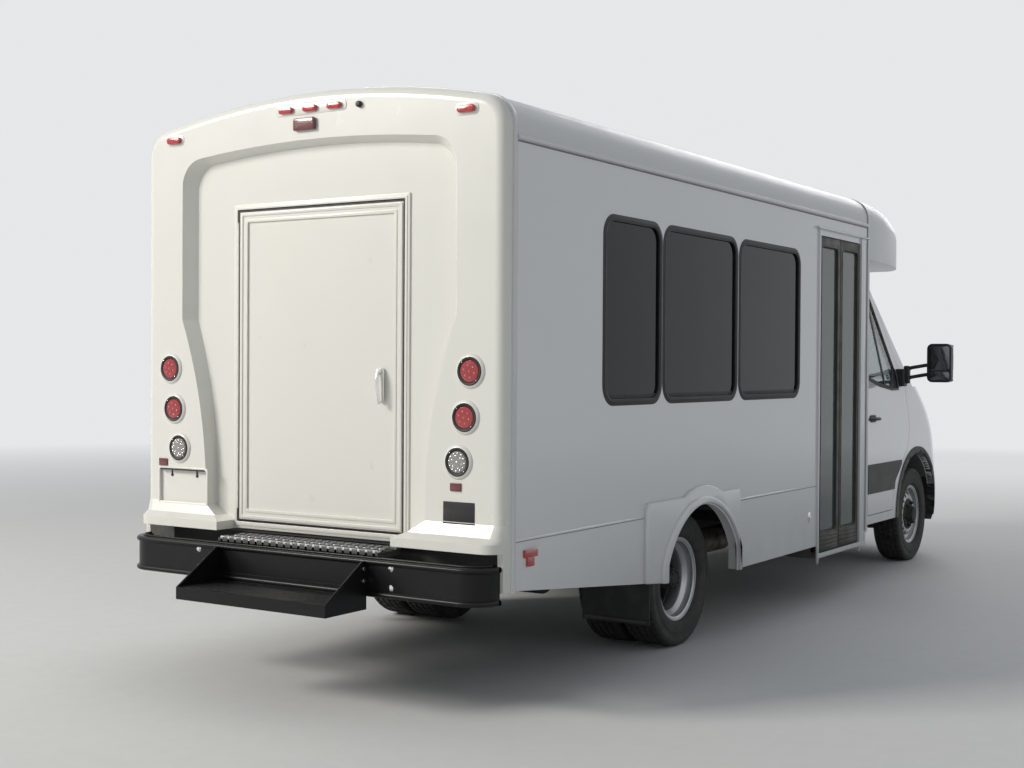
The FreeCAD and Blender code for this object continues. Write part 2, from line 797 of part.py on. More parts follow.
def make_chassis_rails():
    body = new_body("chassis_rails")
    start = -rail_rear
    rails = []
    for side in (-1, 1):
        middle = size.rail_spacing / 2 * side
        rails.append(rectangle(middle - size.rail_width / 2, middle + size.rail_width / 2,
                               size.rail_low, size.rail_high))
    add_pad(body, "YZ", rails, start, size.rail_front)
    hollows = []
    for side in (-1, 1):
        near = (size.rail_spacing - size.rail_width) / 2 * side - side
        low, high = sorted((near, web_inner * side))
        hollows.append(rectangle(low, high, size.rail_low + size.rail_plate, size.rail_high - size.rail_plate))
    add_pocket(body, "YZ", hollows, start, size.rail_front)
    jacks = [rectangle(x - 50, x + 50, size.rail_spacing / 2 * side - 30, size.rail_spacing / 2 * side + 30)
             for x in (-size.jack_rear, size.jack_front) for side in (-1, 1)]
    add_pad(body, "XY", jacks, size.rail_low - size.jack_pad, size.rail_low)
    place(body)


def make_cross_members():
    # Rungs between the rails' webs, and sills on the rails that carry the floor.
    body = new_body("cross_members")
    rungs = [rectangle(x - 30, x + 30, -web_inner, web_inner)
             for x in (30 - rail_rear, -1200, -820, 820, 1700, 2400, 3100, size.rail_front - 60)]
    add_pad(body, "XY", rungs, size.rail_low + 45, size.rail_low + 125)
    sills = [rectangle(x - 25, x + 25, 5 - inner_half, inner_half - 5) for x in (-1850, -1250, -600, 600, 1100, 1600)]
    sills.append(rectangle(2675, 2725, 5 - inner_half, inner_half - 5))
    add_pad(body, "XY", sills, size.rail_high, size.floor_top - size.floor_thick)
    place(body)


dual_middle = (size.dual_inner + size.dual_outer) / 2
dual_spread = (size.dual_outer - size.dual_inner) / 2
hub_inward = 60   # how far a rear hub reaches in from the middle of its tyres


def make_rear_axle():
    # The axle beam with its differential, on two leaf springs under the rails.
    tube = size.axle_tube * 0.8
    end = dual_middle - hub_inward - size.seat_gap
    shapes = [rod((0, -end, axle_z), (0, end, axle_z), tube),
              rod((0, -90, axle_z), (0, 60, axle_z), 165),
              rod((0, 0, axle_z), (230, 0, axle_z), 62)]
    seat = axle_z + tube + 4
    leaf = size.spring_leaf
    for side in (-1, 1):
        across = size.rail_spacing / 2 * side
        steps = [(-690, seat + 3 * leaf + 8), (-690, seat + 2 * leaf + 8), (-460, seat + 2 * leaf + 5),
                 (-460, seat + leaf + 5), (-280, seat + leaf + 3), (-280, seat + 3), (0, seat), (280, seat + 3),
                 (280, seat + leaf + 3), (460, seat + leaf + 5), (460, seat + 2 * leaf + 5),
                 (690, seat + 2 * leaf + 8), (690, seat + 3 * leaf + 8), (0, seat + 3 * leaf)]
        shapes.append(prism(steps, "XZ", across - 35, across + 35))
        shapes.append(block(-70, 70, across - 45, across + 45, axle_z, seat + 4))
        for station in (-690, 690):
            shapes.append(block(station - 14, station + 14, across - 28, across + 28,
                                seat + 2 * leaf, size.rail_low))
        drum = (end - 35) * side
        shapes.append(rod((0, drum, axle_z), (0, (end - 12) * side, axle_z), 150))
    add_feature("rear_axle", [joined(shapes)])


gearbox_rear = size.wheelbase + 60 - size.gearbox_length
gear_z = size.rail_low - 20


def make_drive_line():
    shaft_start = 230
    shapes = [rod((shaft_start, 0, axle_z), (gearbox_rear + 5, 0, gear_z), 45)]
    shapes.append(Part.makeCone(90, 150, float(size.gearbox_length), Vector(float(gearbox_rear), 0, float(gear_z)),
                                Vector(1, 0, 0)))
    run = gearbox_rear - shaft_start
    for x in (300, 1500):
        z = axle_z + (gear_z - axle_z) * (formula(x) - shaft_start) / run
        shapes.append(rod((x, 0, z), (x + 60, 0, z + (gear_z - axle_z) * 60 / run), 58))
    whole = joined(shapes)
    add_feature("drive_line", [whole.cut(rod((0, 0, axle_z), (shaft_start, 0, axle_z), 63))])


def make_engine():
    body = new_body("engine_block")
    start = gearbox_rear + size.gearbox_length
    add_pad(body, "XY", [rectangle(start, start + size.engine_length, -230, 230)],
            size.rail_low, size.rail_low + size.engine_height)
    place(body)


def make_exhaust():
    # One run along the right side, with the silencer behind the entry steps.
    y = -size.rail_spacing / 2 + 70
    z = size.rail_low - 110
    start = size.wheelbase + 215
    shapes = [rod((start, y, z), (1900, y, z), 32), rod((1900, y, z), (1050, y, z), 92),
              rod((1050, y, z), (740, y, z), 32), rod((start, y, z - 20), (start, y, size.rail_low + 150), 24),
              rod((start, y, size.rail_low + 130), (start, -230, size.rail_low + 130), 24)]
    for station in (1700, 2400):
        shapes.append(rod((station, y, z), (station, y, size.rail_low + 45), 9))
    add_feature("exhaust", [joined(shapes)])


def make_fuel_tank():
    body = new_body("fuel_tank")
    near = (size.rail_spacing + size.rail_width) / 2
    outline = rectangle(near + 12, near + 430, size.rail_low - 190, size.rail_low + 120, 45)
    add_pad(body, "YZ", [outline], 1750, 2600)
    strap = rectangle(near, near + 440, size.rail_low + 40, size.rail_low + 130)
    add_pad(body, "YZ", [strap], 1900, 1940)
    add_pad(body, "YZ", [strap], 2400, 2440)
    place(body)


front_tyre_y = size.front_track / 2
kingpin_y = front_tyre_y - size.kingpin_in


def make_front_subframe():
    x = size.wheelbase
    low = axle_z - size.arm_drop - 20
    high = axle_z - size.arm_drop + 18
    reach = size.rail_spacing / 2
    shapes = [block(x + 62, x + 182, -reach, reach, size.rail_low - 60, size.rail_low),
              block(x - 45, x + 45, 120 - reach, reach - 120, low, low + 45)]
    for side in (-1, 1):
        arm = [(x - 150, 290 * side), (x + 150, 290 * side), (x + 26, kingpin_y * side), (x - 26, kingpin_y * side)]
        shapes.append(prism(arm, "XY", low, high))
        near, far = sorted((170 * side, (reach - 120) * side))
        shapes.append(block(x - 45, x + 170, near, far, low, size.rail_low - 50))
        shapes.append(rod((x, kingpin_y * side, low), (x, kingpin_y * side, high + 6), 27))
    add_feature("front_subframe", [joined(shapes)])


rim_half = size.tyre_width / 2 - 22


def make_knuckle(label, side):
    # The upright turns about the steering axis and carries the stub axle.
    x, y = size.wheelbase, kingpin_y * side
    low = axle_z - size.arm_drop + 24 + size.seat_gap
    face = (front_tyre_y + rim_half - 8 - size.seat_gap) * side
    shapes = [rod((x, y, low), (x, y, axle_z + 120), 28),
              rod((x, y + 10 * side, axle_z), (x, face, axle_z), 34),
              rod((x, face - 14 * side, axle_z), (x, face, axle_z), 62),
              rod((x, y + 34 * side, axle_z), (x, y + 66 * side, axle_z), 140)]
    shapes.append(block(x - 190, x + 5, y - 15, y + 15, axle_z - 65, axle_z - 27))
    add_feature(label, [joined(shapes)])


def make_front_rim(label, side):
    body = new_body(label)
    half = rim_half
    bead = size.rim_radius
    well = bead - 34
    hub = size.hub_radius
    outline = [(-half, bead + 14), (-half, bead - 8), (30 - half, well - 8), (half - 70, well - 8),
               (half - 34, 150), (half - 8, 132), (half - 8, 36), (half + 34, 36), (half + 34, hub - 10),
               (half + 4, hub), (half + 4, 136), (half - 22, 158), (half - 56, well), (half - 30, well),
               (half, bead - 8), (half, bead + 14), (half - 10, bead + 14), (half - 10, bead),
               (10 - half, bead), (10 - half, bead + 14)]
    outline = [(across * side, up) for across, up in outline]
    add_revolution(body, [outline])
    hole = new_sketch(body, "XZ", 0)
    draw_circle(hole, 0, formula(168), 20)
    cut = body.newObject("PartDesign::Pocket", "HandHole")
    cut.Profile = hole
    cut.Type = "ThroughAll"
    cut.Midplane = True
    add_ring(body, cut, size.hand_holes)
    place(body, size.wheelbase, front_tyre_y * side, axle_z)


def tyre_outline(middle):
    half = size.tyre_width / 2
    bead = size.rim_radius
    crown = size.tyre_radius
    seat = rim_half - 10 - size.seat_gap
    low = bead + size.seat_gap
    outline = [(-seat, low), (-seat, bead + 15), (-half + 10, bead + 26), (-half, bead + 74), (-half + 4, crown - 26),
               (-half + 22, crown), (half - 22, crown), (half - 4, crown - 26), (half, bead + 74),
               (half - 10, bead + 26), (seat, bead + 15), (seat, low)]
    outline.reverse()
    return [(across + middle, up) for across, up in outline]


def make_tyre(label, x, y, middles):
    body = new_body(label)
    add_revolution(body, [tyre_outline(middle) for middle in middles])
    place(body, x, y, axle_z)


def make_rear_rims(label, side):
    # Two dished rims bolted back to back between the twin tyres, on one hub.
    body = new_body(label)
    half = rim_half
    bead = size.rim_radius
    well = bead - 34
    mid = dual_spread
    rim = [(9, 150), (mid - half + 4, well - 8), (mid + half - 26, well - 8),
           (mid + half, bead - 10), (mid + half, bead + 14), (mid + half - 10, bead + 14),
           (mid + half - 10, bead), (10 + mid - half, bead), (10 + mid - half, bead + 14),
           (mid - half, bead + 14), (mid - half, bead - 2), (mid - half - 6, well)]
    outline = [(-9, 60), (9, 60)] + rim + [(0, 160)] + [(-across, up) for across, up in reversed(rim)]
    add_revolution(body, [[(across * side, up) for across, up in outline]])
    hole = new_sketch(body, "XZ", 0)
    draw_circle(hole, 0, formula(125), 18)
    cut = body.newObject("PartDesign::Pocket", "HandHole")
    cut.Profile = hole
    cut.Type = "ThroughAll"
    cut.Midplane = True
    add_ring(body, cut, size.hand_holes)
    reach = mid + size.tyre_width / 2 - 40
    hub = [(-hub_inward, 20), (reach, 20), (reach, 52), (14, 58), (9, 70), (-hub_inward, 70)]
    add_revolution(body, [[(across * side, up) for across, up in hub]])
    place(body, 0, dual_middle * side, axle_z)


def make_mud_flaps():
    body = new_body("mud_flaps")
    outlines = []
    for side in (-1, 1):
        low, high = sorted((size.flap_inner * side, (half_width - 50) * side))
        outlines.append(rectangle(low, high, size.flap_low, size.floor_top - size.floor_thick))
    add_pad(body, "YZ", outlines, -size.arch_half - 60, -size.arch_half - 52)
    place(body)


# Cab: one hollow body, cut along the joints between its real panels.

cab_rear = size.box_front + 40


def cab_plan(inset, half, side_x, mid_x, corner):
    # Outline seen from above: straight sides, round corners, a bowed front.
    side = half - inset
    front = mid_x - inset
    shoulder = side_x - inset
    bow = front - shoulder
    radius = (side * side + bow * bow) / (2 * bow)
    return [(cab_rear, -side), (shoulder - corner, -side), (shoulder + corner / 4, corner * 0.8 - side, corner * 1.3),
            (shoulder + corner / 4, side - corner * 0.8, radius), (shoulder - corner, side, corner * 1.3),
            (cab_rear, side)]


NOSE = (  # up, half width, where the corner begins, the shoulder's and the middle's reach
    (180, 985, 4700, 5130, 5290),
    (640, 1010, 4730, 5230, 5338),
    (960, 1008, 4670, 5215, 5328),
    (1160, 998, 4570, 5120, 5262),
    (1300, 980, 4460, 4990, 5140),
    (1450, 962, 4300, 4790, 4950),
)


def nose_outline(half, start, shoulder, middle, inset):
    # Straight sides, a corner that leaves them smoothly and a bowed front, seen from above.
    side = half - inset
    wide = size.nose_shoulder_half - inset * 0.4
    start = formula(start) - inset * 0.3
    shoulder = formula(shoulder) - inset
    along, across = shoulder - start, side - wide
    corner = (along * along + across * across) / (2 * across)
    bow = middle - inset - shoulder
    radius = (wide * wide + bow * bow) / (2 * bow)
    return [(cab_rear, -side), (start, -side), (shoulder, -wide, corner), (shoulder, wide, radius),
            (start, side, corner), (cab_rear, side)]


def cab_lower(inset):
    sections = [wire(nose_outline(half, start, shoulder, middle, inset), "XY", up)
                for up, half, start, shoulder, middle in NOSE]
    body = Part.makeLoft(sections, True, False)
    top = size.belt + 20 - inset
    foot = size.sill_bottom if inset == 0 else size.sill_bottom - 200
    chin = size.bumper_bottom if inset == 0 else size.bumper_bottom - 90
    lip = size.hood_front - inset
    profile = [(cab_rear, foot), (size.hood_front - 300, foot), (size.hood_front - 200, chin), (5600, chin),
               (5600, top - size.hood_drop - 60), (lip + 100, top - size.hood_drop), (lip, top - 130, 220),
               (size.screen_foot_mid - inset / 2, top, 1700), (cab_rear, top)]
    return body.common(prism(profile, "XZ", -1200, 1200))


def cab_upper(inset):
    base = size.belt if inset == 0 else size.belt - 60
    fall = (size.belt - base) / (size.screen_top - size.belt)
    spread = size.cab_belt_half - size.cab_roof_half
    foot = cab_plan(inset, size.cab_belt_half + spread * fall,
                    size.screen_foot_side + (size.screen_foot_side - size.screen_head_side) * fall,
                    size.screen_foot_mid + (size.screen_foot_mid - size.screen_head_mid) * fall, 90)
    head = cab_plan(inset, size.cab_roof_half, size.screen_head_side, size.screen_head_mid, 90)
    crown = cab_plan(inset, size.cab_roof_half - 120, size.screen_head_side - 110, size.screen_head_mid - 110, 90)
    body = Part.makeLoft([wire(foot, "XY", base), wire(head, "XY", size.screen_top - inset / 2)], True, True)
    dome = Part.makeLoft([wire(head, "XY", size.screen_top - inset / 2), wire(crown, "XY", size.cab_roof - inset)],
                         True, True)
    return body.fuse(dome)


def cab_solid(inset):
    return cab_lower(inset).fuse(cab_upper(inset))


def zone(points, plane, low, high, gap=0):
    face = Part.Face(wire(points, "XY", 0))
    if float(gap) != 0:
        face = face.makeOffset2D(float(gap), 2)
    if plane == "XZ":
        face = face.rotated(Vector(0, 0, 0), Vector(1, 0, 0), 90)
    if plane == "YZ":
        face = face.rotated(Vector(0, 0, 0), Vector(1, 1, 1), 120)
    face = face.translated(spot(plane, 0, 0, float(low)))
    return face.extrude(spot(plane, 0, 0, float(high) - float(low)))


def door_outline():
    hinge = size.door_hinge
    arch_x = size.wheelbase - size.front_arch
    return [(size.door_rear, size.door_low), (arch_x - 140, size.door_low), (arch_x - 60, 690), (hinge - 60, 930),
            (hinge, 1080), (hinge, size.belt + 10), (size.screen_head_side - 20, size.screen_top - 60),
            (size.screen_head_side - 140, size.screen_top - 20), (size.door_rear, size.screen_top - 20)]


def door_window():
    hinge = size.door_hinge
    return [(size.door_rear + 80, size.belt + 110), (size.door_rear + 420, size.belt + 40),
            (hinge - 330, size.belt + 10), (hinge - 190, size.belt + 10), (hinge - 190, size.belt + 130),
            (size.screen_head_side - 80, size.screen_top - 130),
            (size.screen_head_side - 140, size.screen_top - 110), (size.door_rear + 80, size.screen_top - 110)]


def screen_outline():
    low_half, top_half = size.cab_belt_half - 75, size.cab_roof_half - 70
    return [(-low_half, size.belt + 30), (low_half, size.belt + 30), (top_half, size.screen_top - 45),
            (-top_half, size.screen_top - 45)]


def hood_outline():
    rear = size.screen_foot_mid + size.cowl
    return [(rear, -size.hood_half), (5600, -size.hood_half), (5600, size.hood_half), (rear, size.hood_half)]


def lamp_outline(side):
    return [(540 * side, 880), (900 * side, 930), (925 * side, 1090), (620 * side, 1040)]


def grille_outline():
    return [(-500, 720), (500, 720), (530, 1030), (-530, 1030)]


def make_cab_floor():
    # Floor, firewall and the liners over the front wheels.
    edge = size.cab_half
    wall_x = size.wheelbase + 40
    outside = size.front_arch + 12
    slab = block(cab_rear + size.seat_gap, wall_x, -edge, edge, size.cab_floor - 40, size.cab_floor)
    firewall = block(wall_x - 30, wall_x, -edge, edge, size.cab_floor - 40, size.belt - 34)
    tub = rod((size.wheelbase, -edge, axle_z), (size.wheelbase, edge, axle_z), outside)
    pieces = [joined([slab, firewall]).cut(tub.cut(block(0, 5600, -560, 560, 0, 2000)))]
    for side in (-1, 1):
        low, high = sorted((560 * side, edge * side))
        liner = rod((size.wheelbase, low, axle_z), (size.wheelbase, high, axle_z), outside)
        liner = liner.cut(rod((size.wheelbase, low - 1, axle_z), (size.wheelbase, high + 1, axle_z),
                              size.front_arch))
        plate = rod((size.wheelbase, 548 * side, axle_z), (size.wheelbase, 560 * side, axle_z), outside)
        low, high = sorted((540 * side, edge * side))
        above = block(size.wheelbase - 600, size.wheelbase + 600, low, high, size.rail_high + 5, 1000)
        pieces.append(liner.fuse(plate).common(above))
    floor = joined(pieces).common(cab_solid(size.cab_wall + size.seat_gap))
    for side in (-1, 1):
        low, high = sorted((600 * side, 1400 * side))
        frame = zone(door_outline(), "XZ", low, high, size.seam + size.lining + size.seat_gap)
        floor = floor.cut(frame.cut(cab_solid(size.cab_wall + size.lining + size.seat_gap)))
    add_feature("cab_floor", [floor.removeSplitter()])


def make_cab():
    outer = cab_solid(0)
    skin = outer.cut(cab_solid(size.cab_wall))
    glass = cab_solid(6).cut(cab_solid(6 + size.glass_thick))
    seam = size.seam
    far = 1400
    front_face = size.wheelbase + 160
    doors = {}
    shell = skin.cut(block(0, cab_rear + size.seat_gap, -1200, 1200, 0, 3000))
    arch = rod((size.wheelbase, -far, axle_z), (size.wheelbase, far, axle_z), size.front_arch)
    for side, name in ((1, "left"), (-1, "right")):
        low, high = sorted((600 * side, far * side))
        panel = skin.common(zone(door_outline(), "XZ", low, high))
        pane = zone(door_window(), "XZ", low, high)
        doors[name] = panel.cut(pane)
        add_feature(f"cab_door_{name}", [doors[name].removeSplitter()])
        add_feature(f"cab_glass_{name}", [glass.common(zone(door_window(), "XZ", low, high, -size.seat_gap))])
        shell = shell.cut(zone(door_outline(), "XZ", low, high, seam))
    screen = zone(screen_outline(), "YZ", size.screen_head_side - 100, 5000)
    pane = zone(screen_outline(), "YZ", size.screen_head_side - 100, 5000, -size.seat_gap)
    top_half = block(size.screen_head_side - 100, 5000, -1100, 1100, size.belt + 20, 2400)
    shell = shell.cut(screen.common(top_half))
    add_feature("windscreen", [glass.common(pane).common(top_half)])
    hood = skin.common(zone(hood_outline(), "XY", size.hood_low, size.belt + 20))
    shell = shell.cut(zone(hood_outline(), "XY", size.hood_low - seam, size.belt + 20, seam))
    add_feature("hood", [hood.removeSplitter()])
    lamps = []
    for side in (-1, 1):
        lamps.append(skin.common(zone(lamp_outline(side), "YZ", front_face, 5600)))
        shell = shell.cut(zone(lamp_outline(side), "YZ", front_face, 5600, size.seat_gap))
    add_feature("headlamps", lamps)
    grille_space = zone(grille_outline(), "YZ", 4800, 5600, size.seat_gap)
    add_feature("grille", [skin.common(zone(grille_outline(), "YZ", 4800, 5600))])
    shell = shell.cut(grille_space)
    bumper_zone = block(4780, 5600, -1200, 1200, 200, 640)
    bumper = skin.common(bumper_zone).cut(arch)
    add_feature("front_bumper", [bumper.removeSplitter()])
    shell = shell.cut(block(4780 - size.seat_gap, 5600, -1200, 1200, 200, 640 + size.seat_gap)).cut(arch)
    make_cab_floor()
    lining = cab_solid(size.cab_wall - 5).cut(cab_solid(size.cab_wall + size.lining))
    filled = outer.cut(cab_solid(size.cab_wall + size.seat_gap))
    for side in (-1, 1):
        low, high = sorted((600 * side, far * side))
        ring = zone(door_outline(), "XZ", low, high, seam + size.lining)
        ring = ring.cut(zone(door_outline(), "XZ", low, high, -20))
        space = filled.common(zone(door_outline(), "XZ", low, high, seam))
        shell = shell.cut(space).fuse(lining.common(ring).cut(space).cut(arch))
    ring = zone(hood_outline(), "XY", size.hood_low - 40, size.belt + 20, seam + size.lining)
    ring = ring.cut(zone(hood_outline(), "XY", size.hood_low + size.lining, size.belt + 20, -20))
    space = filled.common(zone(hood_outline(), "XY", size.hood_low - seam, size.belt + 20, seam))
    shell = shell.fuse(lining.common(ring).cut(space))
    add_feature("cab_shell", [shell.removeSplitter()])


def mirror_shapes(side):
    y = size.cab_half - 25
    x = size.door_hinge - 90
    shapes = [block(x - 60, x + 30, *sorted(((y - 60) * side, (y + 12) * side)), size.belt + 25, size.belt + 125)]
    for z in (size.belt + 100, size.belt + 175):
        start = (x, (y + 5) * side, size.belt + 75)
        shapes.append(rod(start, (x + 20, 1195 * side, z + 20), 16))
    head = rectangle(*sorted((1175 * side, 1365 * side)), 1460, 1765, 40)
    shapes.append(prism(head, "YZ", x - 30, x + 70))
    return shapes


def make_mirrors():
    for side, name in ((1, "left"), (-1, "right")):
        add_feature(f"mirror_{name}", [joined(mirror_shapes(side)).cut(cab_solid(-size.seat_gap))])


# Front cap: the moulding that bridges from the box down to the cab.

CAP_TURNS = (0, 20, 37, 51, 63, 73, 80)    # degrees round a quarter ellipse, from seam to nose


def front_cap_solid(inset):
    sections = []
    for turn in CAP_TURNS:
        along = math.sin(math.radians(turn)) / math.sin(math.radians(CAP_TURNS[-1]))
        left_over = math.cos(math.radians(turn))
        half = size.cap_nose_half + (half_width - size.cap_nose_half) * left_over
        top = size.cap_nose_top + (size.roof_top - size.cap_nose_top) * left_over
        corner = size.cap_nose_corner + (size.roof_corner - size.cap_nose_corner) * left_over
        forward = cab_rear + (size.front_cap_reach - inset - cab_rear) * along
        section = end_section(formula(inset), size.front_cap_low + inset, half, top, corner)
        sections.append(wire(section, "YZ", forward))
    return Part.makeLoft(sections, True, False)


def make_front_cap():
    cap = front_cap_solid(0).cut(front_cap_solid(size.front_cap_wall))
    collar = prism(box_section(0, size.front_cap_low), "YZ", size.box_front, cab_rear)
    cap = joined([cap, collar.cut(prism(box_section(size.front_cap_wall, size.front_cap_low + 30), "YZ",
                                        size.box_front - 1, cab_rear + 1))])
    cap = cap.cut(block(0, 3400, -cab_inner_half(), cab_inner_half(), size.front_cap_low - 5, size.roof_seam + 120))
    cap = cap.cut(cab_solid(-size.seat_gap))
    wall = prism(rectangle(-half_width, half_width, size.skirt_low, size.front_cap_low), "YZ",
                 size.box_front, cab_rear)
    hole = prism(rectangle(-cab_inner_half(), cab_inner_half(), size.cab_floor, size.front_cap_low + 5), "YZ",
                 size.box_front - 1, cab_rear + 1)
    under = block(2700, 3000, -700, 700, 0, size.cab_floor - 40)
    add_feature("front_cap", [joined([cap, wall.cut(hole).cut(under)])])


def cab_inner_half():
    return size.cab_roof_half - 60


# Inside: passenger seats in pairs, two cab seats, dashboard and wheel.

def seat_shapes(x, y, width, floor_z):
    top = floor_z + size.seat_height
    back = floor_z + size.seat_back
    cushion = [(x, top - 110), (x + size.seat_depth, top - 110), (x + size.seat_depth + 30, top - 20),
               (x + size.seat_depth, top), (x + 80, top - 20), (x - 40, back), (x - 110, back), (x - 30, top - 90)]
    pedestal = block(x + 60, x + size.seat_depth - 60, y - width / 2 + 60, y - width / 2 + 110, floor_z, top - 100)
    other = block(x + 60, x + size.seat_depth - 60, y + width / 2 - 110, y + width / 2 - 60, floor_z, top - 100)
    seat = joined([prism(cushion, "XZ", y - width / 2, y + width / 2), pedestal, other])
    for side in (-1, 1):
        low, high = sorted(((box_side - size.seat_gap) * side, half_width * side))
        seat = seat.cut(block(-wheel_box - size.seat_gap, wheel_box + size.seat_gap, low, high, 0,
                              box_top + size.seat_gap))
    return seat


def make_seats():
    shapes = []
    for row in range(int(size.seat_rows.value)):
        x = size.seat_first + size.seat_pitch * row
        for side in (-1, 1):
            for place_number in (0, 1):
                y = (inner_half - 25 - size.seat_width / 2 - (size.seat_width + 8) * place_number) * side
                floor_z = size.floor_top
                shapes.append(seat_shapes(x, y, size.seat_width - 4, floor_z))
    add_feature("seats", shapes)
    add_feature("cab_seats", [seat_shapes(3060, 470 * side, 480, size.cab_floor) for side in (-1, 1)])


def make_dashboard():
    wall_x = size.wheelbase + 10
    profile = [(wall_x, 900), (wall_x, size.belt - 60), (wall_x - 150, size.belt - 20), (wall_x - 400, size.belt - 90),
               (wall_x - 440, 1180), (wall_x - 260, 900)]
    shapes = [prism(profile, "XZ", -880, 880)]
    hub = Vector(float(wall_x) - 560, 470, 1150)
    axis = Vector(-0.85, 0, 0.52)
    shapes.append(Part.makeTorus(190, 14, hub, axis))
    shapes.append(Part.makeCylinder(45, 40, hub - axis * 30, axis))
    shapes.append(Part.makeCylinder(30, 260, hub - axis * 280, axis))
    side_way = Vector(0, 1, 0)
    shapes.append(Part.makeCylinder(10, 380, hub - side_way * 190, side_way))
    add_feature("dashboard", [joined(shapes)])


def make_all():
    make_chassis_rails()
    make_cross_members()
    make_rear_axle()
    make_drive_line()
    make_engine()
    make_exhaust()
    make_fuel_tank()
    make_front_subframe()
    make_floor()
    make_side_wall("side_wall_left", 1)
    make_side_wall("side_wall_right", -1)
    make_side_windows()
    make_roof()
    make_rear_cap()
    make_front_cap()
    make_entry_steps()
    make_rear_bumper()
    make_tread_plate()
    make_rear_step()
    make_rear_lamps()
    make_mud_flaps()
    make_cab()
    make_mirrors()
    make_seats()
    make_dashboard()
    make_rear_door()
    make_entry_leaf("entry_leaf_rear", size.entry_rear + size.seam, entry_middle - size.seam / 2, True)
    make_entry_leaf("entry_leaf_front", entry_middle + size.seam / 2, size.entry_front - size.seam, False)
    for side, name in ((1, "left"), (-1, "right")):
        make_knuckle(f"knuckle_{name}", side)
        make_front_rim(f"front_rim_{name}", side)
        make_tyre(f"front_tyre_{name}", size.wheelbase, front_tyre_y * side, [0])
        make_rear_rims(f"rear_rims_{name}", side)
        make_tyre(f"rear_tyres_{name}", 0, dual_middle * side, [-dual_spread, dual_spread])


make_all()
doc.recompute()
for item in doc.Objects:
    if "Invalid" in item.State or "Error" in item.State:
        raise RuntimeError(f"{item.Name} could not be computed: {item.State}")
os.makedirs("parts", exist_ok=True)
for item in SUBPARTS:
    if item.Shape.isNull() or not item.Shape.isValid():
        raise RuntimeError(f"{item.Label} has no valid shape")
    item.Shape.exportStep(f"parts/{item.Label}.step")
print(len(SUBPARTS), "sub-parts written")
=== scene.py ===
import json
import math

import bpy
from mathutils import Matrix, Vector

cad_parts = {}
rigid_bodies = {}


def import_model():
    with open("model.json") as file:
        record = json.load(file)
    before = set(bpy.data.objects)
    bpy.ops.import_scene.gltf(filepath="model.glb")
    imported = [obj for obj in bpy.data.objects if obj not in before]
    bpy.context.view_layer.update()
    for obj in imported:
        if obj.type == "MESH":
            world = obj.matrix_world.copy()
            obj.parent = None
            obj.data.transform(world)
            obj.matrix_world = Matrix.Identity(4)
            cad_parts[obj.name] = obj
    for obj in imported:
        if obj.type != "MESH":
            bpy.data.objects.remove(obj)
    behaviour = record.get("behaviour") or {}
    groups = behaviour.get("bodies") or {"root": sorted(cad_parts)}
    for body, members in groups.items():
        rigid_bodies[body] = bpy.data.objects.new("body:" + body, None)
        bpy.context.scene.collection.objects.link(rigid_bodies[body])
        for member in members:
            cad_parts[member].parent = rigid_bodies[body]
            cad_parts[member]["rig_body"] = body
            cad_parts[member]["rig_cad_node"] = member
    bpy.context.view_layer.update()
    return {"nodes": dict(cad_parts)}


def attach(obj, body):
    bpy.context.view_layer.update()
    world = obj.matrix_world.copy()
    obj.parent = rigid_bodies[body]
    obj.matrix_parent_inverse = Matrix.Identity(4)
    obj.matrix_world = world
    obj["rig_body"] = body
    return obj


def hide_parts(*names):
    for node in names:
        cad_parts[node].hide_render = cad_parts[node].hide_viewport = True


# Lays out the look of a coach-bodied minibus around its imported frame.
# Metres, +X forward, +Y to the vehicle's left, +Z up.

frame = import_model()
nodes = frame["nodes"]
print("frame loaded:", len(nodes), "nodes")


# Camera, floor and light

cameraPlace = {"spot": (-8.7238, -4.5443, 1.58), "yaw": 0.5725, "pitch": -0.0136, "roll": 0.0061,
               "lens": 50.23, "filmWidth": 36.0}
studio = {"floorColour": (0.74, 0.735, 0.72), "skyColour": (0.81, 0.88, 0.95), "skyStrength": 0.31,
          "backdrop": (0.79, 0.80, 0.815), "fadeNear": 7.5, "fadeFar": 20.0, "keySpot": (-13.6, 9.0, 8.7),
          "keySize": 5.0, "keyPower": 1900.0, "fillSpot": (-4.0, -16.0, 7.0), "fillSize": 10.0,
          "fillPower": 80.0, "frontSpot": (15.0, 2.0, 8.0), "frontSize": 8.0, "frontPower": 480.0,
          "floorSize": 160.0}


def setCamera():
    data = bpy.data.cameras.new("photoCamera")
    camera = bpy.data.objects.new("photoCamera", data)
    bpy.context.scene.collection.objects.link(camera)
    yaw, pitch, roll = cameraPlace["yaw"], cameraPlace["pitch"], cameraPlace["roll"]
    ahead = Vector((math.cos(pitch) * math.cos(yaw), math.cos(pitch) * math.sin(yaw), math.sin(pitch)))
    turn = ahead.to_track_quat("-Z", "Y")
    camera.rotation_mode = "QUATERNION"
    camera.rotation_quaternion = turn
    bpy.context.view_layer.update()
    camera.rotation_mode = "XYZ"
    camera.location = cameraPlace["spot"]
    camera.rotation_euler.rotate_axis("Z", roll)
    data.lens = cameraPlace["lens"]
    data.sensor_width = cameraPlace["filmWidth"]
    data.sensor_fit = "HORIZONTAL"
    data.clip_end = 400
    bpy.context.scene.camera = camera


def addLamp(name, spot, size, power, aim=(0.0, 0.0, 1.2), colour=(1, 1, 1)):
    data = bpy.data.lights.new(name, "AREA")
    data.size = size
    data.energy = power
    data.color = colour
    lamp = bpy.data.objects.new(name, data)
    bpy.context.scene.collection.objects.link(lamp)
    lamp.location = spot
    lamp.rotation_euler = (Vector(aim) - Vector(spot)).to_track_quat("-Z", "Y").to_euler()


